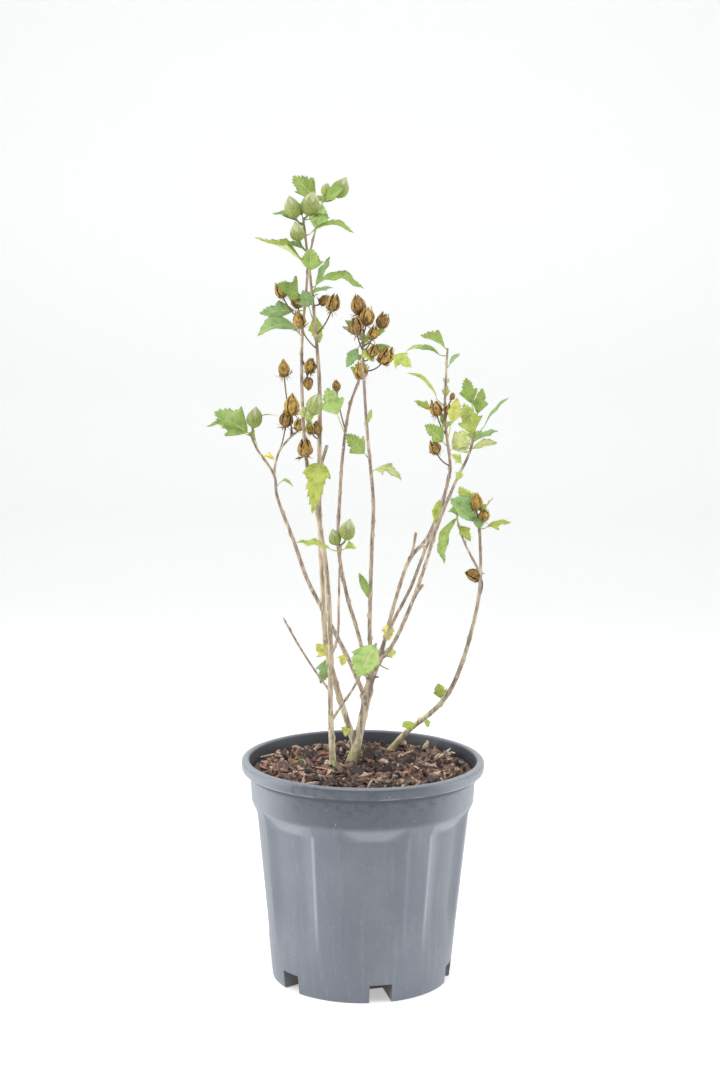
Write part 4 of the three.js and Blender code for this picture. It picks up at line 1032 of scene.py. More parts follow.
def bud_surface(base, axis, normal, binormal, size, dice):
    """A bud: a pointed egg, slightly bent and uneven, with five soft ridges that twist towards its tip, and a
    step where the calyx lobes end. Its values are the share of the length, the calyx's cover and a streak."""
    t = np.linspace(0, 1, 26)[:, None]
    turn = np.linspace(0, TURN, 40, endpoint=False)[None]
    radius = np.interp(t, *BUD_PROFILE.T) * size * BUD["girth"] / 2
    twist = turn + 0.7 * t**2 + dice.uniform(0, TURN)
    ends = dice.uniform(0.48, 0.62) + dice.uniform(0.25, 0.42) * (1 - np.abs(np.sin(2.5 * twist))) ** 0.9
    cover = smooth(ramp(ends - t, -0.03, 0.05))
    ridge = 0.06 * np.cos(5 * twist) + 0.04 * np.cos(2 * twist + 1) + 0.03 * np.cos(10 * twist - 6 * t)
    radius = radius * (1 + ridge * ramp(t, 0.02, 0.2)) * (0.91 + 0.09 * cover)
    bend = dice.normal(0, 0.05) * size * t**2 * (1 - t)
    grid = around(base, axis, normal, binormal, radius, t * size, turn) + bend[..., None] * normal
    streak = 0.5 + 0.5 * np.cos(25 * twist + 2 * np.sin(9 * t))
    return grid, woven(t, cover, streak)


def strap_stack(base, axis, normal, binormal, size, ring, dice):
    """A ring of narrow pointed straps, such as bracts and sepals: each runs out and up from the base, leaning
    out by an angle that changes along it, and is a thin diamond across."""
    count, start, length, width, lean, curl, ragged = ring
    start, length, width = start * size, length * size, width * size
    t = np.linspace(0, 1, 8)
    turn = TURN * (np.arange(count) + dice.uniform(-0.25, 0.25, count)) / count + dice.uniform(0, TURN)
    tilt = lean + dice.normal(0, ragged, (count, 1)) + (curl + dice.normal(0, 2 * ragged, (count, 1))) * t
    step = length * dice.uniform(0.6, 1.15, (count, 1)) / (len(t) - 1)
    none = np.zeros((count, 1))
    out = start + np.concatenate([none, np.cumsum(np.sin(tilt[:, :-1]) * step, axis=1)], axis=1)
    up = np.concatenate([none, np.cumsum(np.cos(tilt[:, :-1]) * step, axis=1)], axis=1)
    arm = np.cos(turn)[:, None] * normal + np.sin(turn)[:, None] * binormal
    tangent = np.cross(axis, arm)
    line = base + out[..., None] * arm[:, None] + up[..., None] * axis
    section = np.array([(-1, 0), (0, 1), (1, 0), (0, -1)], float)
    breadth = width / 2 * np.sin(np.pi * np.clip(t * 0.86 + 0.14, 0, 1)) ** 0.8
    thin = 0.22 * breadth / (width / 2)
    offset = (section[None, None, :, :1] * breadth[None, :, None, None] * tangent[:, None, None]
              + section[None, None, :, 1:] * thin[None, :, None, None]
              * (np.cos(tilt)[..., None, None] * arm[:, None, None] - np.sin(tilt)[..., None, None] * axis))
    return capped(line[:, :, None] + offset, line[:, 0], line[:, -1])


# A valve's outline, in the same way.
VALVE_PROFILE = np.array([
    (0, 0.1), (0.06, 0.5), (0.14, 0.76), (0.26, 0.96), (0.38, 1), (0.55, 0.95), (0.72, 0.8), (0.86, 0.66),
    (1, 0.58)])


def capsule_surface(base, axis, normal, binormal, size, gape, dice):
    """A ripe capsule's five valves, outside and lining in one closed surface each. A valve covers a fifth of
    a turn up to where the capsule splits, then narrows to its point and leans out with the gape. Every valve
    has a length, lean, dents and a ragged edge of its own. Its values are the share of the length, how near
    the valve's edge, and whether it is the lining."""
    t = np.linspace(0, 1, 17)[None, :, None]
    half = np.linspace(-1, 1, 9)
    out = np.concatenate([half, half[-2:0:-1]])[None, None]
    lining = np.concatenate([np.zeros(9), np.ones(7)])[None, None]
    count = CAPSULE["valves"]
    own = lambda low, high: dice.uniform(low, high, (count, 1, 1))
    centre = (TURN * (np.arange(count) + dice.uniform(-0.08, 0.08, count)) / count)[:, None, None]
    split = 0.62 - 0.34 * gape + own(-0.08, 0.08)
    open_share = ramp(t, split, 1.0)
    narrow = np.sqrt(np.clip(1 - open_share ** (own(1.3, 2.4) / np.clip(2 * gape, 0.12, 1)), 0, 1))
    ragged = 0.12 * gape * np.sin(TURN * (own(2, 4) * t + own(0, 1))) * ramp(t, 0.35, 0.6)
    widest = size * CAPSULE["girth"] / 2 * (0.84 + 0.32 * min(gape, 0.6))
    lean = gape * own(0.5, 1.5)
    profile = np.interp(t, *VALVE_PROFILE.T)
    closed = profile * (1 - 0.85 * ramp(t, 0.55, 1.0) ** 1.5 * np.clip(1 - lean, 0, 1))
    closed = closed + 0.25 * np.clip(lean - 0.8, 0, 1) * ramp(t, 0.6, 1.0) ** 2
    dents = 0.04 * np.sin(own(6, 14) * t + own(0, 6) + own(2, 5) * out)
    rib = 1 - 0.1 * out**2 + 0.05 * np.exp(-(out / 0.15) ** 2) + dents
    wall = 0.045 * size * lining * np.sqrt(np.clip(1 - out**2, 0.05, 1)) * narrow
    radius = np.maximum(widest * closed * rib - wall, 0.02)
    height = size * t * (1 - own(0, 0.14) * t**2)
    turn = centre + out * (np.pi / count) * 0.99 * narrow * (1 + ragged)
    grid = around(base, axis, normal, binormal, radius, height, turn)
    edge = np.abs(out) * (0.8 + 0.2 * min(1, 4 * gape))
    first, last = grid[:, 0].mean(axis=1), grid[:, -1].mean(axis=1)
    return capped(grid, first, last), capped_values(woven(t, edge, lining))


def core_surface(base, axis, normal, binormal, size):
    """The dark seed chamber that shows between a capsule's valves: an egg of five lobes."""
    t = np.linspace(0, 1, 9)[:, None]
    turn = np.linspace(0, TURN, 15, endpoint=False)[None]
    radius = size * 0.27 * np.sin(np.pi * t) ** 0.7 * (1 + 0.12 * np.cos(5 * turn))
    return around(base, axis, normal, binormal, radius, (0.06 + 0.52 * t) * size, turn)


# ---- Materials -------------------------------------------------------------------------------------------

RIGHT, BACK, UP = range(3)


class Signal:
    """A number or colour on its way through a material. Sums on numbers add their Math nodes."""

    def __init__(self, finish, socket):
        self.finish, self.socket = finish, socket

    def __add__(self, other):
        return self.finish.sum("ADD", self, other)

    def __sub__(self, other):
        return self.finish.sum("SUBTRACT", self, other)

    def __rsub__(self, other):
        return self.finish.sum("SUBTRACT", other, self)

    def __mul__(self, other):
        return self.finish.sum("MULTIPLY", self, other)

    def __gt__(self, other):
        return self.finish.sum("GREATER_THAN", self, other)

    __radd__, __rmul__ = __add__, __mul__


class Finish:
    """A material under construction, with one Principled shader at its end."""

    def __init__(self, name):
        self.material = bpy.data.materials.new(name)
        self.material.use_nodes = True
        self.tree = self.material.node_tree
        self.tree.nodes.clear()
        self.place = self.node("ShaderNodeTexCoord", output="Object")

    def node(self, kind, settings=None, sockets=None, output=0):
        """Adds a node: first its settings, then the value or link of each socket."""
        made = self.tree.nodes.new(kind)
        for key, value in (settings or {}).items():
            setattr(made, key, value)
        for key, value in (sockets or {}).items():
            if isinstance(value, Signal):
                self.tree.links.new(value.socket, made.inputs[key])
            else:
                made.inputs[key].default_value = value
        return Signal(self, made.outputs[output])

    def sum(self, operation, first, second):
        """One Math node."""
        return self.node("ShaderNodeMath", {"operation": operation}, {0: first, 1: second})

    def between(self, value, low, high):
        """A number eased from 0 at low to 1 at high."""
        return self.node("ShaderNodeMapRange", {"interpolation_type": "SMOOTHSTEP"},
                         {"Value": value, "From Min": low, "From Max": high})

    def below(self, value, low, high):
        """A number eased from 1 at low to 0 at high."""
        return 1 - self.between(value, low, high)

    def band(self, value, grows, full, fades, gone):
        """A number eased up from 0 to 1 between two values, and back to 0 between two higher ones."""
        return self.between(value, grows, full) * self.below(value, fades, gone)

    def blend(self, share, first, second, how="MIX"):
        """Two colours mixed by a share."""
        as_colour = lambda c: c if isinstance(c, Signal) else (*tuple(c)[:3], 1)
        return self.node("ShaderNodeMix", {"data_type": "RGBA", "blend_type": how},
                         {0: share, 6: as_colour(first), 7: as_colour(second)}, output=2)

    def layers(self, colour, *coats):
        """A colour under coats of others, each coat a share and a colour."""
        for share, coat in coats:
            colour = self.blend(share, colour, coat)
        return colour

    def squeezed(self, squeeze):
        """The place, with each axis scaled: a pattern is drawn out along an axis whose scale is below 1."""
        return self.node("ShaderNodeMapping", None, {"Vector": self.place, "Scale": squeeze})

    def noise(self, size, detail=3, squeeze=(1, 1, 1)):
        """Cloudy noise whose largest features are of a size in millimetres."""
        return self.node("ShaderNodeTexNoise", None, {
            "Vector": self.squeezed(squeeze), "Scale": 1 / (size * MM), "Detail": detail, "Roughness": 0.55})

    def specks(self, size, squeeze=(1, 1, 1)):
        """Distance from the nearest of many scattered points, of a spacing in millimetres."""
        return self.node("ShaderNodeTexVoronoi", None, {
            "Vector": self.squeezed(squeeze), "Scale": 1 / (size * MM)})

    def distance(self, axis):
        """How far to the right, back or up, in metres."""
        return self.node("ShaderNodeSeparateXYZ", None, {0: self.place}, output=axis)

    def values(self, name):
        """The three numbers that the mesh holds under a name."""
        held = self.node("ShaderNodeAttribute", {"attribute_name": name}, output="Vector")
        return [self.node("ShaderNodeSeparateXYZ", None, {0: held}, output=k) for k in range(3)]

    def tint(self):
        """The colour that the mesh holds."""
        return self.node("ShaderNodeAttribute", {"attribute_name": "tint"}, output="Color")

    def surface(self, colour, roughness, relief=None, depth=0.3, **fixed):
        """Closes the material. Relief is a number whose full step stands up by a depth in millimetres."""
        sockets = {"Base Color": colour, "Roughness": roughness, **fixed}
        if relief is not None:
            sockets["Normal"] = self.node("ShaderNodeBump", None, {
                "Height": relief, "Distance": depth * MM, "Strength": 1.0})
        shader = self.node("ShaderNodeBsdfPrincipled", None, sockets)
        end = self.tree.nodes.new("ShaderNodeOutputMaterial")
        self.tree.links.new(shader.socket, end.inputs["Surface"])
        return self.material


# Where the pot's marks, painted highlights and painted shade lie, in metres. By height: where a mark starts
# and is full, and for a line also where it fades and is gone. By distance to either side: where what belongs
# to the front and back fades.
COLLAR_START = (0.184, 0.19)
DAMP_RISE = (0.19, 0.216)
RIM_SHADOW_LINE = (0.2125, 0.216, 0.2185, 0.2191)
RIM_UNDERSIDE = (0.2192, 0.2198, 0.2208, 0.2218)
RIM_TOP_HIGHLIGHT = (0.2302, 0.2313)
FRONT_AND_BACK = (0.055, 0.112)
FLECK = (0.75, 0.77, 0.78)


def plastic_finish(look):
    """Moulded plastic: faint clouds and runs of dried dust and tiny white flecks; painted highlights in the
    dust's colour on the slopes and edges of the recesses, at the sides of the collar and along the top of the
    rim, and dust along the rim's lower edge; painted shade that makes the collar and rim darker at the front
    and back, soft damp marks, and a painted shadow line under the rim; soil in the drain openings, painted
    shade on the inner wall and a faint orange peel."""
    make = Finish("moulded_plastic")
    mouth, channel, recess_highlight = make.values("spot")
    height = make.distance(UP)
    # Front and back, by distance to either side: there the collar and rim get painted shade, and elsewhere
    # painted highlight.
    middle = make.below(make.sum("ABSOLUTE", make.distance(RIGHT), 0), *FRONT_AND_BACK)
    clouds = make.between(make.noise(70, 3), 0.4, 0.75)
    runs = make.between(make.noise(5, 5, squeeze=(1, 1, 0.05)), 0.5, 0.8)
    grain = make.between(make.noise(1.6, 4, squeeze=(1, 1, 0.25)), 0.4, 0.7)
    dust_and_highlight_amount = clouds * 0.1 + runs * 0.12 + grain * 0.06
    collar = make.between(height, *COLLAR_START)
    damp_and_shade = collar * (0.3 + 0.7 * make.between(height, *DAMP_RISE))
    stains = make.between(make.noise(9, 7, squeeze=(1, 1, 1.5)), 0.44, 0.66)
    stains = stains * make.between(make.noise(48, 3), 0.38, 0.6)
    white = (0.05 - make.specks(8)) > 0
    patchy = make.between(make.noise(30, 2), 0.48, 0.56)
    soil = channel * make.between(make.noise(4, 4), 0.3, 0.6)
    colour = make.layers(
        look.plastic,
        (dust_and_highlight_amount, look.dust_and_highlight),
        # Painted highlight on the recesses' top slopes and along their edges, in the dust's colour.
        (recess_highlight * 0.55, look.dust_and_highlight),
        # Painted highlight: the sides of the collar and rim lighter, in the dust's colour.
        (collar * (1 - middle) * 0.28, look.dust_and_highlight),
        # Painted shade, with some damp: the front and back of the collar and rim darker.
        (collar * middle * (0.48 + 0.16 * grain), look.damp_and_shade),
        (stains * damp_and_shade * (0.1 + 0.65 * middle), look.damp_and_shade),
        # Painted shadow: a dark line under the rim.
        (make.band(height, *RIM_SHADOW_LINE) * 0.95, look.damp_and_shade),
        (make.band(height, *RIM_UNDERSIDE) * patchy * 0.25, look.dust_and_highlight),
        # Painted highlight along the top of the rim.
        (make.between(height, *RIM_TOP_HIGHLIGHT) * (1 - mouth) * (0.35 + 0.25 * grain), look.dust_and_highlight),
        # Painted shade on the inner wall.
        (mouth, look.mouth),
        (soil * 0.8, look.soil),
        (white * patchy * 0.7, FLECK),
    )
    rough = look.gloss + dust_and_highlight_amount * 0.5 + soil * 0.4 + mouth * 0.15 + collar * grain * 0.15
    peel = make.noise(1.1, 2) * 0.5 + make.noise(7, 2) * 0.5
    return make.surface(colour, rough, peel, 0.05)


def bark_chip_finish(name, look):
    """Weathered bark: each chip's own colour, with darker fibres and pale dusty crumbs."""
    make = Finish(name)
    fibres = make.noise(1.8, 5, squeeze=(1, 0.35, 1))
    crumbs = make.noise(4, 4)
    colour = make.layers(
        make.tint(),
        (make.between(fibres, 0.46, 0.68) * 0.75, look.dark),
        (make.between(crumbs, 0.58, 0.68) * 0.45, look.tan),
    )
    return make.surface(colour, 0.8, fibres + crumbs * 0.5, 1.2)


def bead_finish(look):
    """Resin-coated feed beads with a slight gloss."""
    make = Finish("feed_bead")
    colour = make.blend(make.between(make.noise(1.5, 2), 0.4, 0.7) * 0.4, make.tint(), look.tan)
    return make.surface(colour, 0.4, make.noise(0.8, 2), 0.1)


# Heights in metres at which the bark's pale foot and its film of algae fade and are gone.
PALE_FOOT = (0.272, 0.3)
ALGAE_FILM = (0.232, 0.25)


def bark_finish(look):
    """Living bark: from the young colour to the old one by the limb's age, dark and pale upright streaks and
    patches, pale pores, scars that are pale at their edges and dark within, and a pale foot with a film of
    algae near the mulch. A cut end shows pale wood."""
    make = Finish("bark")
    age, scar, cut = make.values("spot")
    height = make.distance(UP)
    dark = tuple(c * 0.4 for c in look.young)
    fibres = make.noise(3.4, 6, squeeze=(1, 1, 0.14))
    patches = make.noise(9, 5, squeeze=(1, 1, 0.45))
    pores = (0.24 - make.specks(2.6, squeeze=(1, 1, 0.6))) > 0
    pale = make.below(height, *PALE_FOOT) * make.between(patches, 0.25, 0.5)
    film = make.below(height, *ALGAE_FILM) * make.between(make.noise(9, 4), 0.35, 0.55)
    colour = make.layers(
        look.young,
        (make.between(age + patches * 0.5, 0.5, 1.15), look.old),
        (pale * 0.9, look.foot),
        (make.between(fibres, 0.49, 0.64) * 0.7, dark),
        (make.below(fibres, 0.36, 0.48) * 0.65, look.scar),
        (make.between(patches, 0.56, 0.7) * 0.5, look.scar),
        (make.below(patches, 0.32, 0.44) * 0.45, dark),
        (pores * 0.5 * make.between(make.noise(7, 2), 0.42, 0.56), look.scar),
        (make.between(scar, 0.2, 0.55) * 0.65, look.scar),
        (make.between(scar, 0.7, 1.0) * 0.6, dark),
        (film * 0.7, look.algae),
        (cut, look.cut),
    )
    return make.surface(colour, 0.85, fibres * 0.6 + patches * 0.4, 0.9, **{"Specular IOR Level": 0.3})


VEIN = (0.68, 0.75, 0.38)


def leaf_finish(look):
    """A leaf: its own colour, mottled with a darker one and with yellow-green; paler side veins and midrib,
    which follow the blade's rows and columns; a paler underside; a dark net and rusty spots, most of them
    near the edge."""
    make = Finish("leaf")
    vein, out, under = make.values("spot")
    tint = make.tint()
    off_middle = make.sum("ABSOLUTE", out, 0)
    mottle = make.noise(6, 4)
    darker = make.blend(1.0, tint, (0.46, 0.58, 0.4), "MULTIPLY")
    place = make.sum("PINGPONG", vein * LEAF["side_veins"], 0.5)
    side_veins = make.below(place, 0.02, 0.08) * (1 - make.between(off_middle, 0.8, 1.0) * 0.7)
    midrib = make.below(off_middle, 0.02, 0.08)
    net = make.below(make.specks(1.6), 0.1, 0.42)
    veins = make.sum("MAXIMUM", side_veins * 0.6, midrib * 0.9)
    rusty = make.between(make.noise(4, 5), 0.6, 0.67) * (0.2 + make.between(off_middle, 0.7, 1.0) * 0.8)
    colour = make.layers(
        tint,
        (make.between(mottle, 0.42, 0.7) * 0.7, darker),
        (make.between(make.noise(11, 3), 0.52, 0.72) * 0.35, look.lime),
        (make.between(under, 0.4, 0.9) * 0.6, look.under),
        (veins * 0.65, VEIN),
        (net * 0.12, darker),
        (rusty * 0.6, look.rust),
    )
    relief = mottle * 0.35 + (1 - veins) * 0.65
    return make.surface(colour, 0.48, relief, 0.5, **{"Specular IOR Level": 0.4})


def stalk_finish():
    """Leaf and fruit stalks and bracts in their own colours, with fine dark upright lines."""
    make = Finish("stalk")
    lines = make.noise(1.6, 4, squeeze=(1, 1, 0.3))
    colour = make.blend(make.between(lines, 0.45, 0.75) * 0.5, make.tint(), (0.08, 0.05, 0.03))
    return make.surface(colour, 0.7, lines, 0.25)


def bud_finish(look):
    """A bud: green calyx lobes with brownish edges over furled pale petals, brown lines along it, a brown
    tip, a darker foot and a downy bloom."""
    make = Finish("bud")
    along, cover, streak = make.values("spot")
    tint = make.tint()
    mottle = make.noise(2.6, 4)
    darker = make.blend(1.0, tint, (0.5, 0.58, 0.4), "MULTIPLY")
    petals = make.blend(make.between(streak, 0.6, 1.0) * 0.5, look.petal, darker)
    calyx = make.layers(
        tint,
        (make.between(mottle, 0.42, 0.62) * 0.55, darker),
        (make.between(along, 0.25, 0.9) * 0.4, look.petal),
        (make.between(streak, 0.66, 0.96) * make.between(make.noise(5, 3), 0.36, 0.54) * 0.9, look.streak),
    )
    colour = make.layers(
        petals,
        (cover, calyx),
        (make.band(cover, 0.02, 0.4, 0.6, 0.98) * 0.3, look.streak),
        (make.between(along, 0.92, 1.0) * 0.6, look.streak),
        (make.below(along, 0.02, 0.25) * 0.6, darker),
    )
    return make.surface(colour, 0.75, mottle * 0.5 + streak * 0.4, 0.5,
                        **{"Sheen Weight": 0.1, "Specular IOR Level": 0.3})


def capsule_finish(look):
    """A dry capsule: its own brown, mottled with a darker and a paler one, with dark split edges, a lining
    that is pale at the tips and dark in the depth, and a veined skin."""
    make = Finish("capsule")
    along, edge, lining = make.values("spot")
    skin = make.noise(2.4, 6, squeeze=(1, 1, 0.5))
    blotches = make.noise(6, 4)
    outside = make.layers(
        make.tint(),
        (make.between(blotches, 0.42, 0.64) * 0.8, look.weathered),
        (make.between(skin, 0.49, 0.63) * 0.8, look.split),
        (make.between(make.noise(3.5, 4), 0.56, 0.66) * 0.6, look.inside),
        (make.below(along, 0.0, 0.3) * 0.4, look.weathered),
        (make.between(edge, 0.8, 1.0) * 0.6, look.split),
    )
    inside = make.layers(
        look.inside,
        (make.below(along, 0.4, 0.95), look.split),
        (make.between(skin, 0.5, 0.7) * 0.5, look.split),
    )
    colour = make.blend(make.between(lining, 0.4, 0.6), outside, inside)
    return make.surface(colour, 0.8, skin + blotches * 0.4, 1.0, **{"Specular IOR Level": 0.25})


# How far back the floor's glow begins and ends its change, in metres, and the colour that it comes to.
GLOW_CHANGE = (0.16, 0.32)
FAR_GLOW = (0.725, 0.757, 0.747)


def floor_finish(look):
    """A plain pale floor that glows faintly, like a light table, and a little less behind the pot."""
    make = Finish("studio_floor")
    colour = make.blend(make.between(make.noise(400, 2), 0.3, 0.7) * 0.04, look.floor, (0.88, 0.88, 0.88))
    glow = make.blend(make.between(make.distance(BACK), *GLOW_CHANGE), (1, 1, 1), FAR_GLOW)
    return make.surface(colour, 0.9, **{"Emission Color": glow, "Emission Strength": look.glow})


# ---- One operator for each piece or group of like pieces -------------------------------------------------

def organs(kind):
    """Every leaf, bud or capsule with its root, crown by crown in a fixed order, each with its own dice."""
    for number, (name, (stem_name, rows)) in enumerate((*CROWN.items(), *SHOOT.items())):
        stem = STEMS[stem_name]
        for place, row in enumerate(rows):
            if row["kind"] == kind:
                root = stem.place(stem.share(row["height"]))
                yield root, row, np.random.default_rng((number, place))


class SHARON_OT_pot(bpy.types.Operator):
    """Build the round nursery pot with its recesses, rolled rim and drain openings"""
    bl_idname = "sharon.pot"
    bl_label = "Pot"

    def execute(self, context):
        look = context.scene.sharon_pot
        form = Form()
        grid, spot = pot_surface(look)
        form.add(grid, spot=spot)
        dress(form.piece("pot_shell", plastic_finish(look), crease=40), ["pot"])
        return {"FINISHED"}


class SHARON_OT_mulch(bpy.types.Operator):
    """Build the mulch, its loose bark chips, splinters and feed beads"""
    bl_idname = "sharon.mulch"
    bl_label = "Mulch"

    def execute(self, context):
        look = context.scene.sharon_mulch
        dice = np.random.default_rng(11)
        bed = Form()
        bed.add(mulch_surface(look, dice), tint=tuple(look.brown))
        dress(bed.piece("mulch_bed", bark_chip_finish("bark_crumbs", look)), ["mulch"])

        count, even = look.chips, CHIP["evenness"]
        size = dice.gamma(even, look.chip / MM / even, count).clip(*CHIP["length"])
        wide = (size * dice.uniform(*CHIP["slimness"], count)).clip(*CHIP["width"])
        thick = dice.uniform(*CHIP["thickness"], count)
        shades = np.array([getattr(look, name) for name in CHIP_MIX])
        pick = dice.choice(len(CHIP_MIX), count, p=list(CHIP_MIX.values()))
        tints = shades[pick] * dice.uniform(*CHIP["shade"], (count, 1))
        chips = Form()
        places = scattered(dice, count, CHIP["reach"] - size / 2)
        places[:, 2] += dice.uniform(-CHIP["lift"], CHIP["lift"], count)
        tints = tints * place_paleness(places)[:, None]
        tints = tints * np.minimum(1, CHIP["brightest"] / tints.max(axis=1, keepdims=True))
        tilt = np.where(dice.uniform(0, 1, count) < TILT["share"], TILT["steep"], TILT["flat"])
        chips.add(chip_stack(dice, size, wide, thick, places, tilt), tint=tints[:, None, None])
        for name, size, spots in PLACED_CHIPS:
            places = np.array([(x, y, mulch_level(x, y) + lift) for x, y, lift in spots], float)
            long, wide, thick = (np.full(len(spots), float(part)) for part in size)
            stack = chip_stack(dice, long, wide, thick, places, TILT["placed"])
            chips.add(stack, tint=tuple(getattr(look, name)))
        dress(chips.piece("bark_chips", bark_chip_finish("bark_chip", look), crease=35), ["mulch"])

        beads = Form()
        spots = np.array([(x, y, mulch_level(x, y) + BEAD["lift"]) for x, y in BEAD_PLACES])
        beads.add(bead_stack(dice, spots, BEAD["radius"]), tint=tuple(look.feed))
        dress(beads.piece("feed_beads", bead_finish(look)), ["mulch"])
        return {"FINISHED"}


class SHARON_OT_wood(bpy.types.Operator):
    """Build the bark of the trunk, stems, boughs, twigs and pruned stubs"""
    bl_idname = "sharon.wood"
    bl_label = "Wood"

    def execute(self, context):
        look = context.scene.sharon_wood
        form = Form()
        for number, (name, stem) in enumerate(STEMS.items()):
            start = 0
            if name in STANDING:
                x, y = stem.line[0, :2]
                start = stem.share(mulch_level(x, y) - 2 * STEM_SINK)
            knots = [knot for on, *knot in KNOT if on == name]
            dice = np.random.default_rng((7, number))
            grid, spot = bark_limb(stem, start, look.relief, dice, FOOT_AGE.get(name, USUAL_AGE), knots)
            form.add(grid, spot=spot)
        for number, (name, height, reach, girth) in enumerate(STUB):
            root = STEMS[name].place(STEMS[name].share(height))
            grid, spot = stub_limb(root, reach, girth, np.random.default_rng((8, number)))
            form.add(grid, spot=spot)
        dress(form.piece("bark", bark_finish(look)), WOOD_NODES)
        return {"FINISHED"}


class SHARON_OT_leaves(bpy.types.Operator):
    """Build the leaves and their stalks"""
    bl_idname = "sharon.leaves"
    bl_label = "Leaves"

    def execute(self, context):
        look = context.scene.sharon_leaf
        blades, stalks = Form(), Form()
        for root, row, dice in organs("leaf"):
            tint = np.array(getattr(look, row["tint"])) * dice.uniform(0.88, 1.12)
            grid, spot, middle = leaf_surface(root, row, look, dice)
            blades.add(grid, spot=spot, tint=tint)
            line = petiole_line(root, leaf_frame(root, row)[0], middle)
            radii = LEAF["petiole_radius"] * np.linspace(1.25, 0.55, len(line))
            stalks.add(tube(line, radii, 8), tint=0.55 * tint + 0.3 * np.array(look.lime))
        dress(blades.piece("leaves", leaf_finish(look)), GREEN_NODES)
        dress(stalks.piece("leaf_stalks", stalk_finish()), GREEN_NODES)
        return {"FINISHED"}


class SHARON_OT_fruit(bpy.types.Operator):
    """Build the flower buds, the seed capsules and their stalks"""
    bl_idname = "sharon.fruit"
    bl_label = "Buds and capsules"

    def execute(self, context):
        look = context.scene.sharon_fruit
        buds, bracts, stalks = Form(), Form(), Form()
        for root, row, dice in organs("bud"):
            base, *frame_of = standing(root, row)
            size = row["length"]
            tint = np.array(getattr(look, row["tint"])) * dice.uniform(0.9, 1.1)
            grid, spot = bud_surface(base, *frame_of, size, dice)
            buds.add(grid, spot=spot, tint=tint)
            bracts.add(strap_stack(base, *frame_of, size, BUD_BRACTS, dice), tint=tint * (0.85, 0.95, 0.8))
            line = stalk_line(root, base, frame_of[0], size)
            radii = BUD["stalk_radius"] * np.linspace(1.15, 0.95, len(line))
            stalks.add(tube(line, radii, 10), tint=tint * 0.85)
        dress(buds.piece("flower_buds", bud_finish(look)), GREEN_NODES)

        capsules = Form()
        for root, row, dice in organs("capsule"):
            base, *frame_of = standing(root, row)
            size = row["length"]
            share = np.clip(dice.normal(row["age"], 0.15), 0, 1)
            tint = (1 - share) * np.array(look.husk) + share * np.array(look.weathered)
            tint = tint * dice.uniform(0.85, 1.2)
            grid, spot = capsule_surface(base, *frame_of, size, row["gape"], dice)
            capsules.add(grid, spot=spot, tint=tint)
            capsules.add(core_surface(base, *frame_of, size), spot=(0.2, 0, 1), tint=tuple(look.split))
            for ring, shade in ((SEPALS, 0.55), (DRY_BRACTS, 0.45)):
                bracts.add(strap_stack(base, *frame_of, size, ring, dice), tint=tint * shade)
            line = stalk_line(root, base, frame_of[0], size)
            radii = CAPSULE["stalk_radius"] * (1 + 0.35 * np.linspace(-1, 1, len(line)) ** 4)
            stalks.add(tube(line, radii, 10), tint=np.array(look.stalk) * dice.uniform(0.8, 1.6))
        dress(capsules.piece("seed_capsules", capsule_finish(look)), GREEN_NODES)
        dress(bracts.piece("bracts", stalk_finish()), GREEN_NODES)
        dress(stalks.piece("fruit_stalks", stalk_finish()), GREEN_NODES)
        return {"FINISHED"}


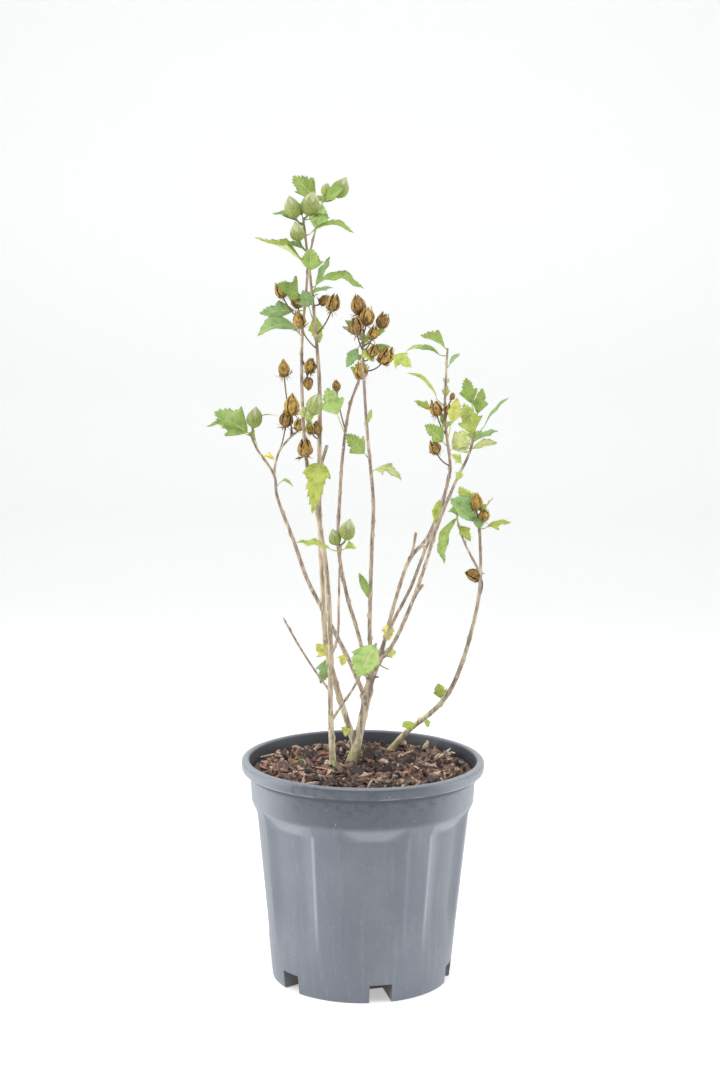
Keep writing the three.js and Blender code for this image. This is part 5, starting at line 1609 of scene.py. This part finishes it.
class SHARON_OT_stage(bpy.types.Operator):
    """Build the floor, the soft lights and the camera"""
    bl_idname = "sharon.stage"
    bl_label = "Stage"

    def execute(self, context):
        look = context.scene.sharon_stage
        profile = np.array(SWEEP)
        x = np.array([-SWEEP_HALF_WIDTH, SWEEP_HALF_WIDTH])
        grid = woven(x, profile[:, :1], profile[:, 1:])
        corners = np.arange(grid[..., 0].size).reshape(grid.shape[:2])
        faces = np.stack([corners[:-1, 0], corners[:-1, 1], corners[1:, 1], corners[1:, 0]], axis=-1)
        data = bpy.data.meshes.new("studio_floor")
        data.from_pydata(grid.reshape(-1, 3).tolist(), [], faces.tolist())
        data.shade_smooth()
        data.materials.append(floor_finish(look))
        floor = bpy.data.objects.new("studio_floor", data)
        context.scene.collection.objects.link(floor)

        world = bpy.data.worlds.new("studio")
        world.use_nodes = True
        world.node_tree.nodes["Background"].inputs["Color"].default_value = (1, 1, 1, 1)
        world.node_tree.nodes["Background"].inputs["Strength"].default_value = look.sky
        context.scene.world = world
        for name, (place, size) in LIGHTS.items():
            light = bpy.data.lights.new(name, "AREA")
            light.shape, light.energy = "RECTANGLE", getattr(look, name)
            light.size, light.size_y = size
            lamp = bpy.data.objects.new(name, light)
            lamp.location = place
            lamp.rotation_mode = "QUATERNION"
            lamp.rotation_quaternion = Vector(np.array(LIT_PLACE) - place).to_track_quat("-Z", "Y")
            context.scene.collection.objects.link(lamp)

        camera = bpy.data.objects.new("camera", bpy.data.cameras.new("camera"))
        camera.data.sensor_width = CAMERA["sensor"]
        camera.data.lens = CAMERA["lens"]
        camera.location = CAMERA["place"]
        pitched = Matrix.Rotation(radians(90 - CAMERA["down"]), 4, "X")
        camera.rotation_euler = (pitched @ Matrix.Rotation(radians(CAMERA["roll"]), 4, "Z")).to_euler()
        context.scene.collection.objects.link(camera)
        context.scene.camera = camera
        context.scene.view_settings.view_transform = "Standard"
        return {"FINISHED"}


class SHARON_PT_panel(bpy.types.Panel):
    """Lists the plant's pieces and what can be changed in each."""
    bl_idname = "SHARON_PT_panel"
    bl_label = "Rose of Sharon"
    bl_space_type = "VIEW_3D"
    bl_region_type = "UI"
    bl_category = "Rose of Sharon"

    def draw(self, context):
        for look, (_, step) in STEPS.items():
            box = self.layout.box()
            box.operator(step.bl_idname)
            settings = getattr(context.scene, look)
            for key in settings.bl_rna.properties.keys():
                if key not in ("name", "rna_type"):
                    box.prop(settings, key)


# What the scene calls each group of settings, with the group and the operator that reads it.
STEPS = {
    "sharon_stage": (StageLook, SHARON_OT_stage),
    "sharon_pot": (PotLook, SHARON_OT_pot),
    "sharon_mulch": (MulchLook, SHARON_OT_mulch),
    "sharon_wood": (WoodLook, SHARON_OT_wood),
    "sharon_leaf": (LeafLook, SHARON_OT_leaves),
    "sharon_fruit": (FruitLook, SHARON_OT_fruit),
}
CLASSES = [*(made for step in STEPS.values() for made in step), SHARON_PT_panel]


def register():
    """Makes the classes known and hangs each group of settings on the scene."""
    for made in CLASSES:
        bpy.utils.register_class(made)
    for name, (look, _) in STEPS.items():
        setattr(bpy.types.Scene, name, PointerProperty(type=look))


def unregister():
    """Undoes register."""
    for name in STEPS:
        delattr(bpy.types.Scene, name)
    for made in reversed(CLASSES):
        bpy.utils.unregister_class(made)


def main():
    """Builds the stage and every piece."""
    register()
    bpy.ops.sharon.stage()
    bpy.ops.sharon.pot()
    bpy.ops.sharon.mulch()
    bpy.ops.sharon.wood()
    bpy.ops.sharon.leaves()
    bpy.ops.sharon.fruit()


if __name__ == "__main__":
    main()
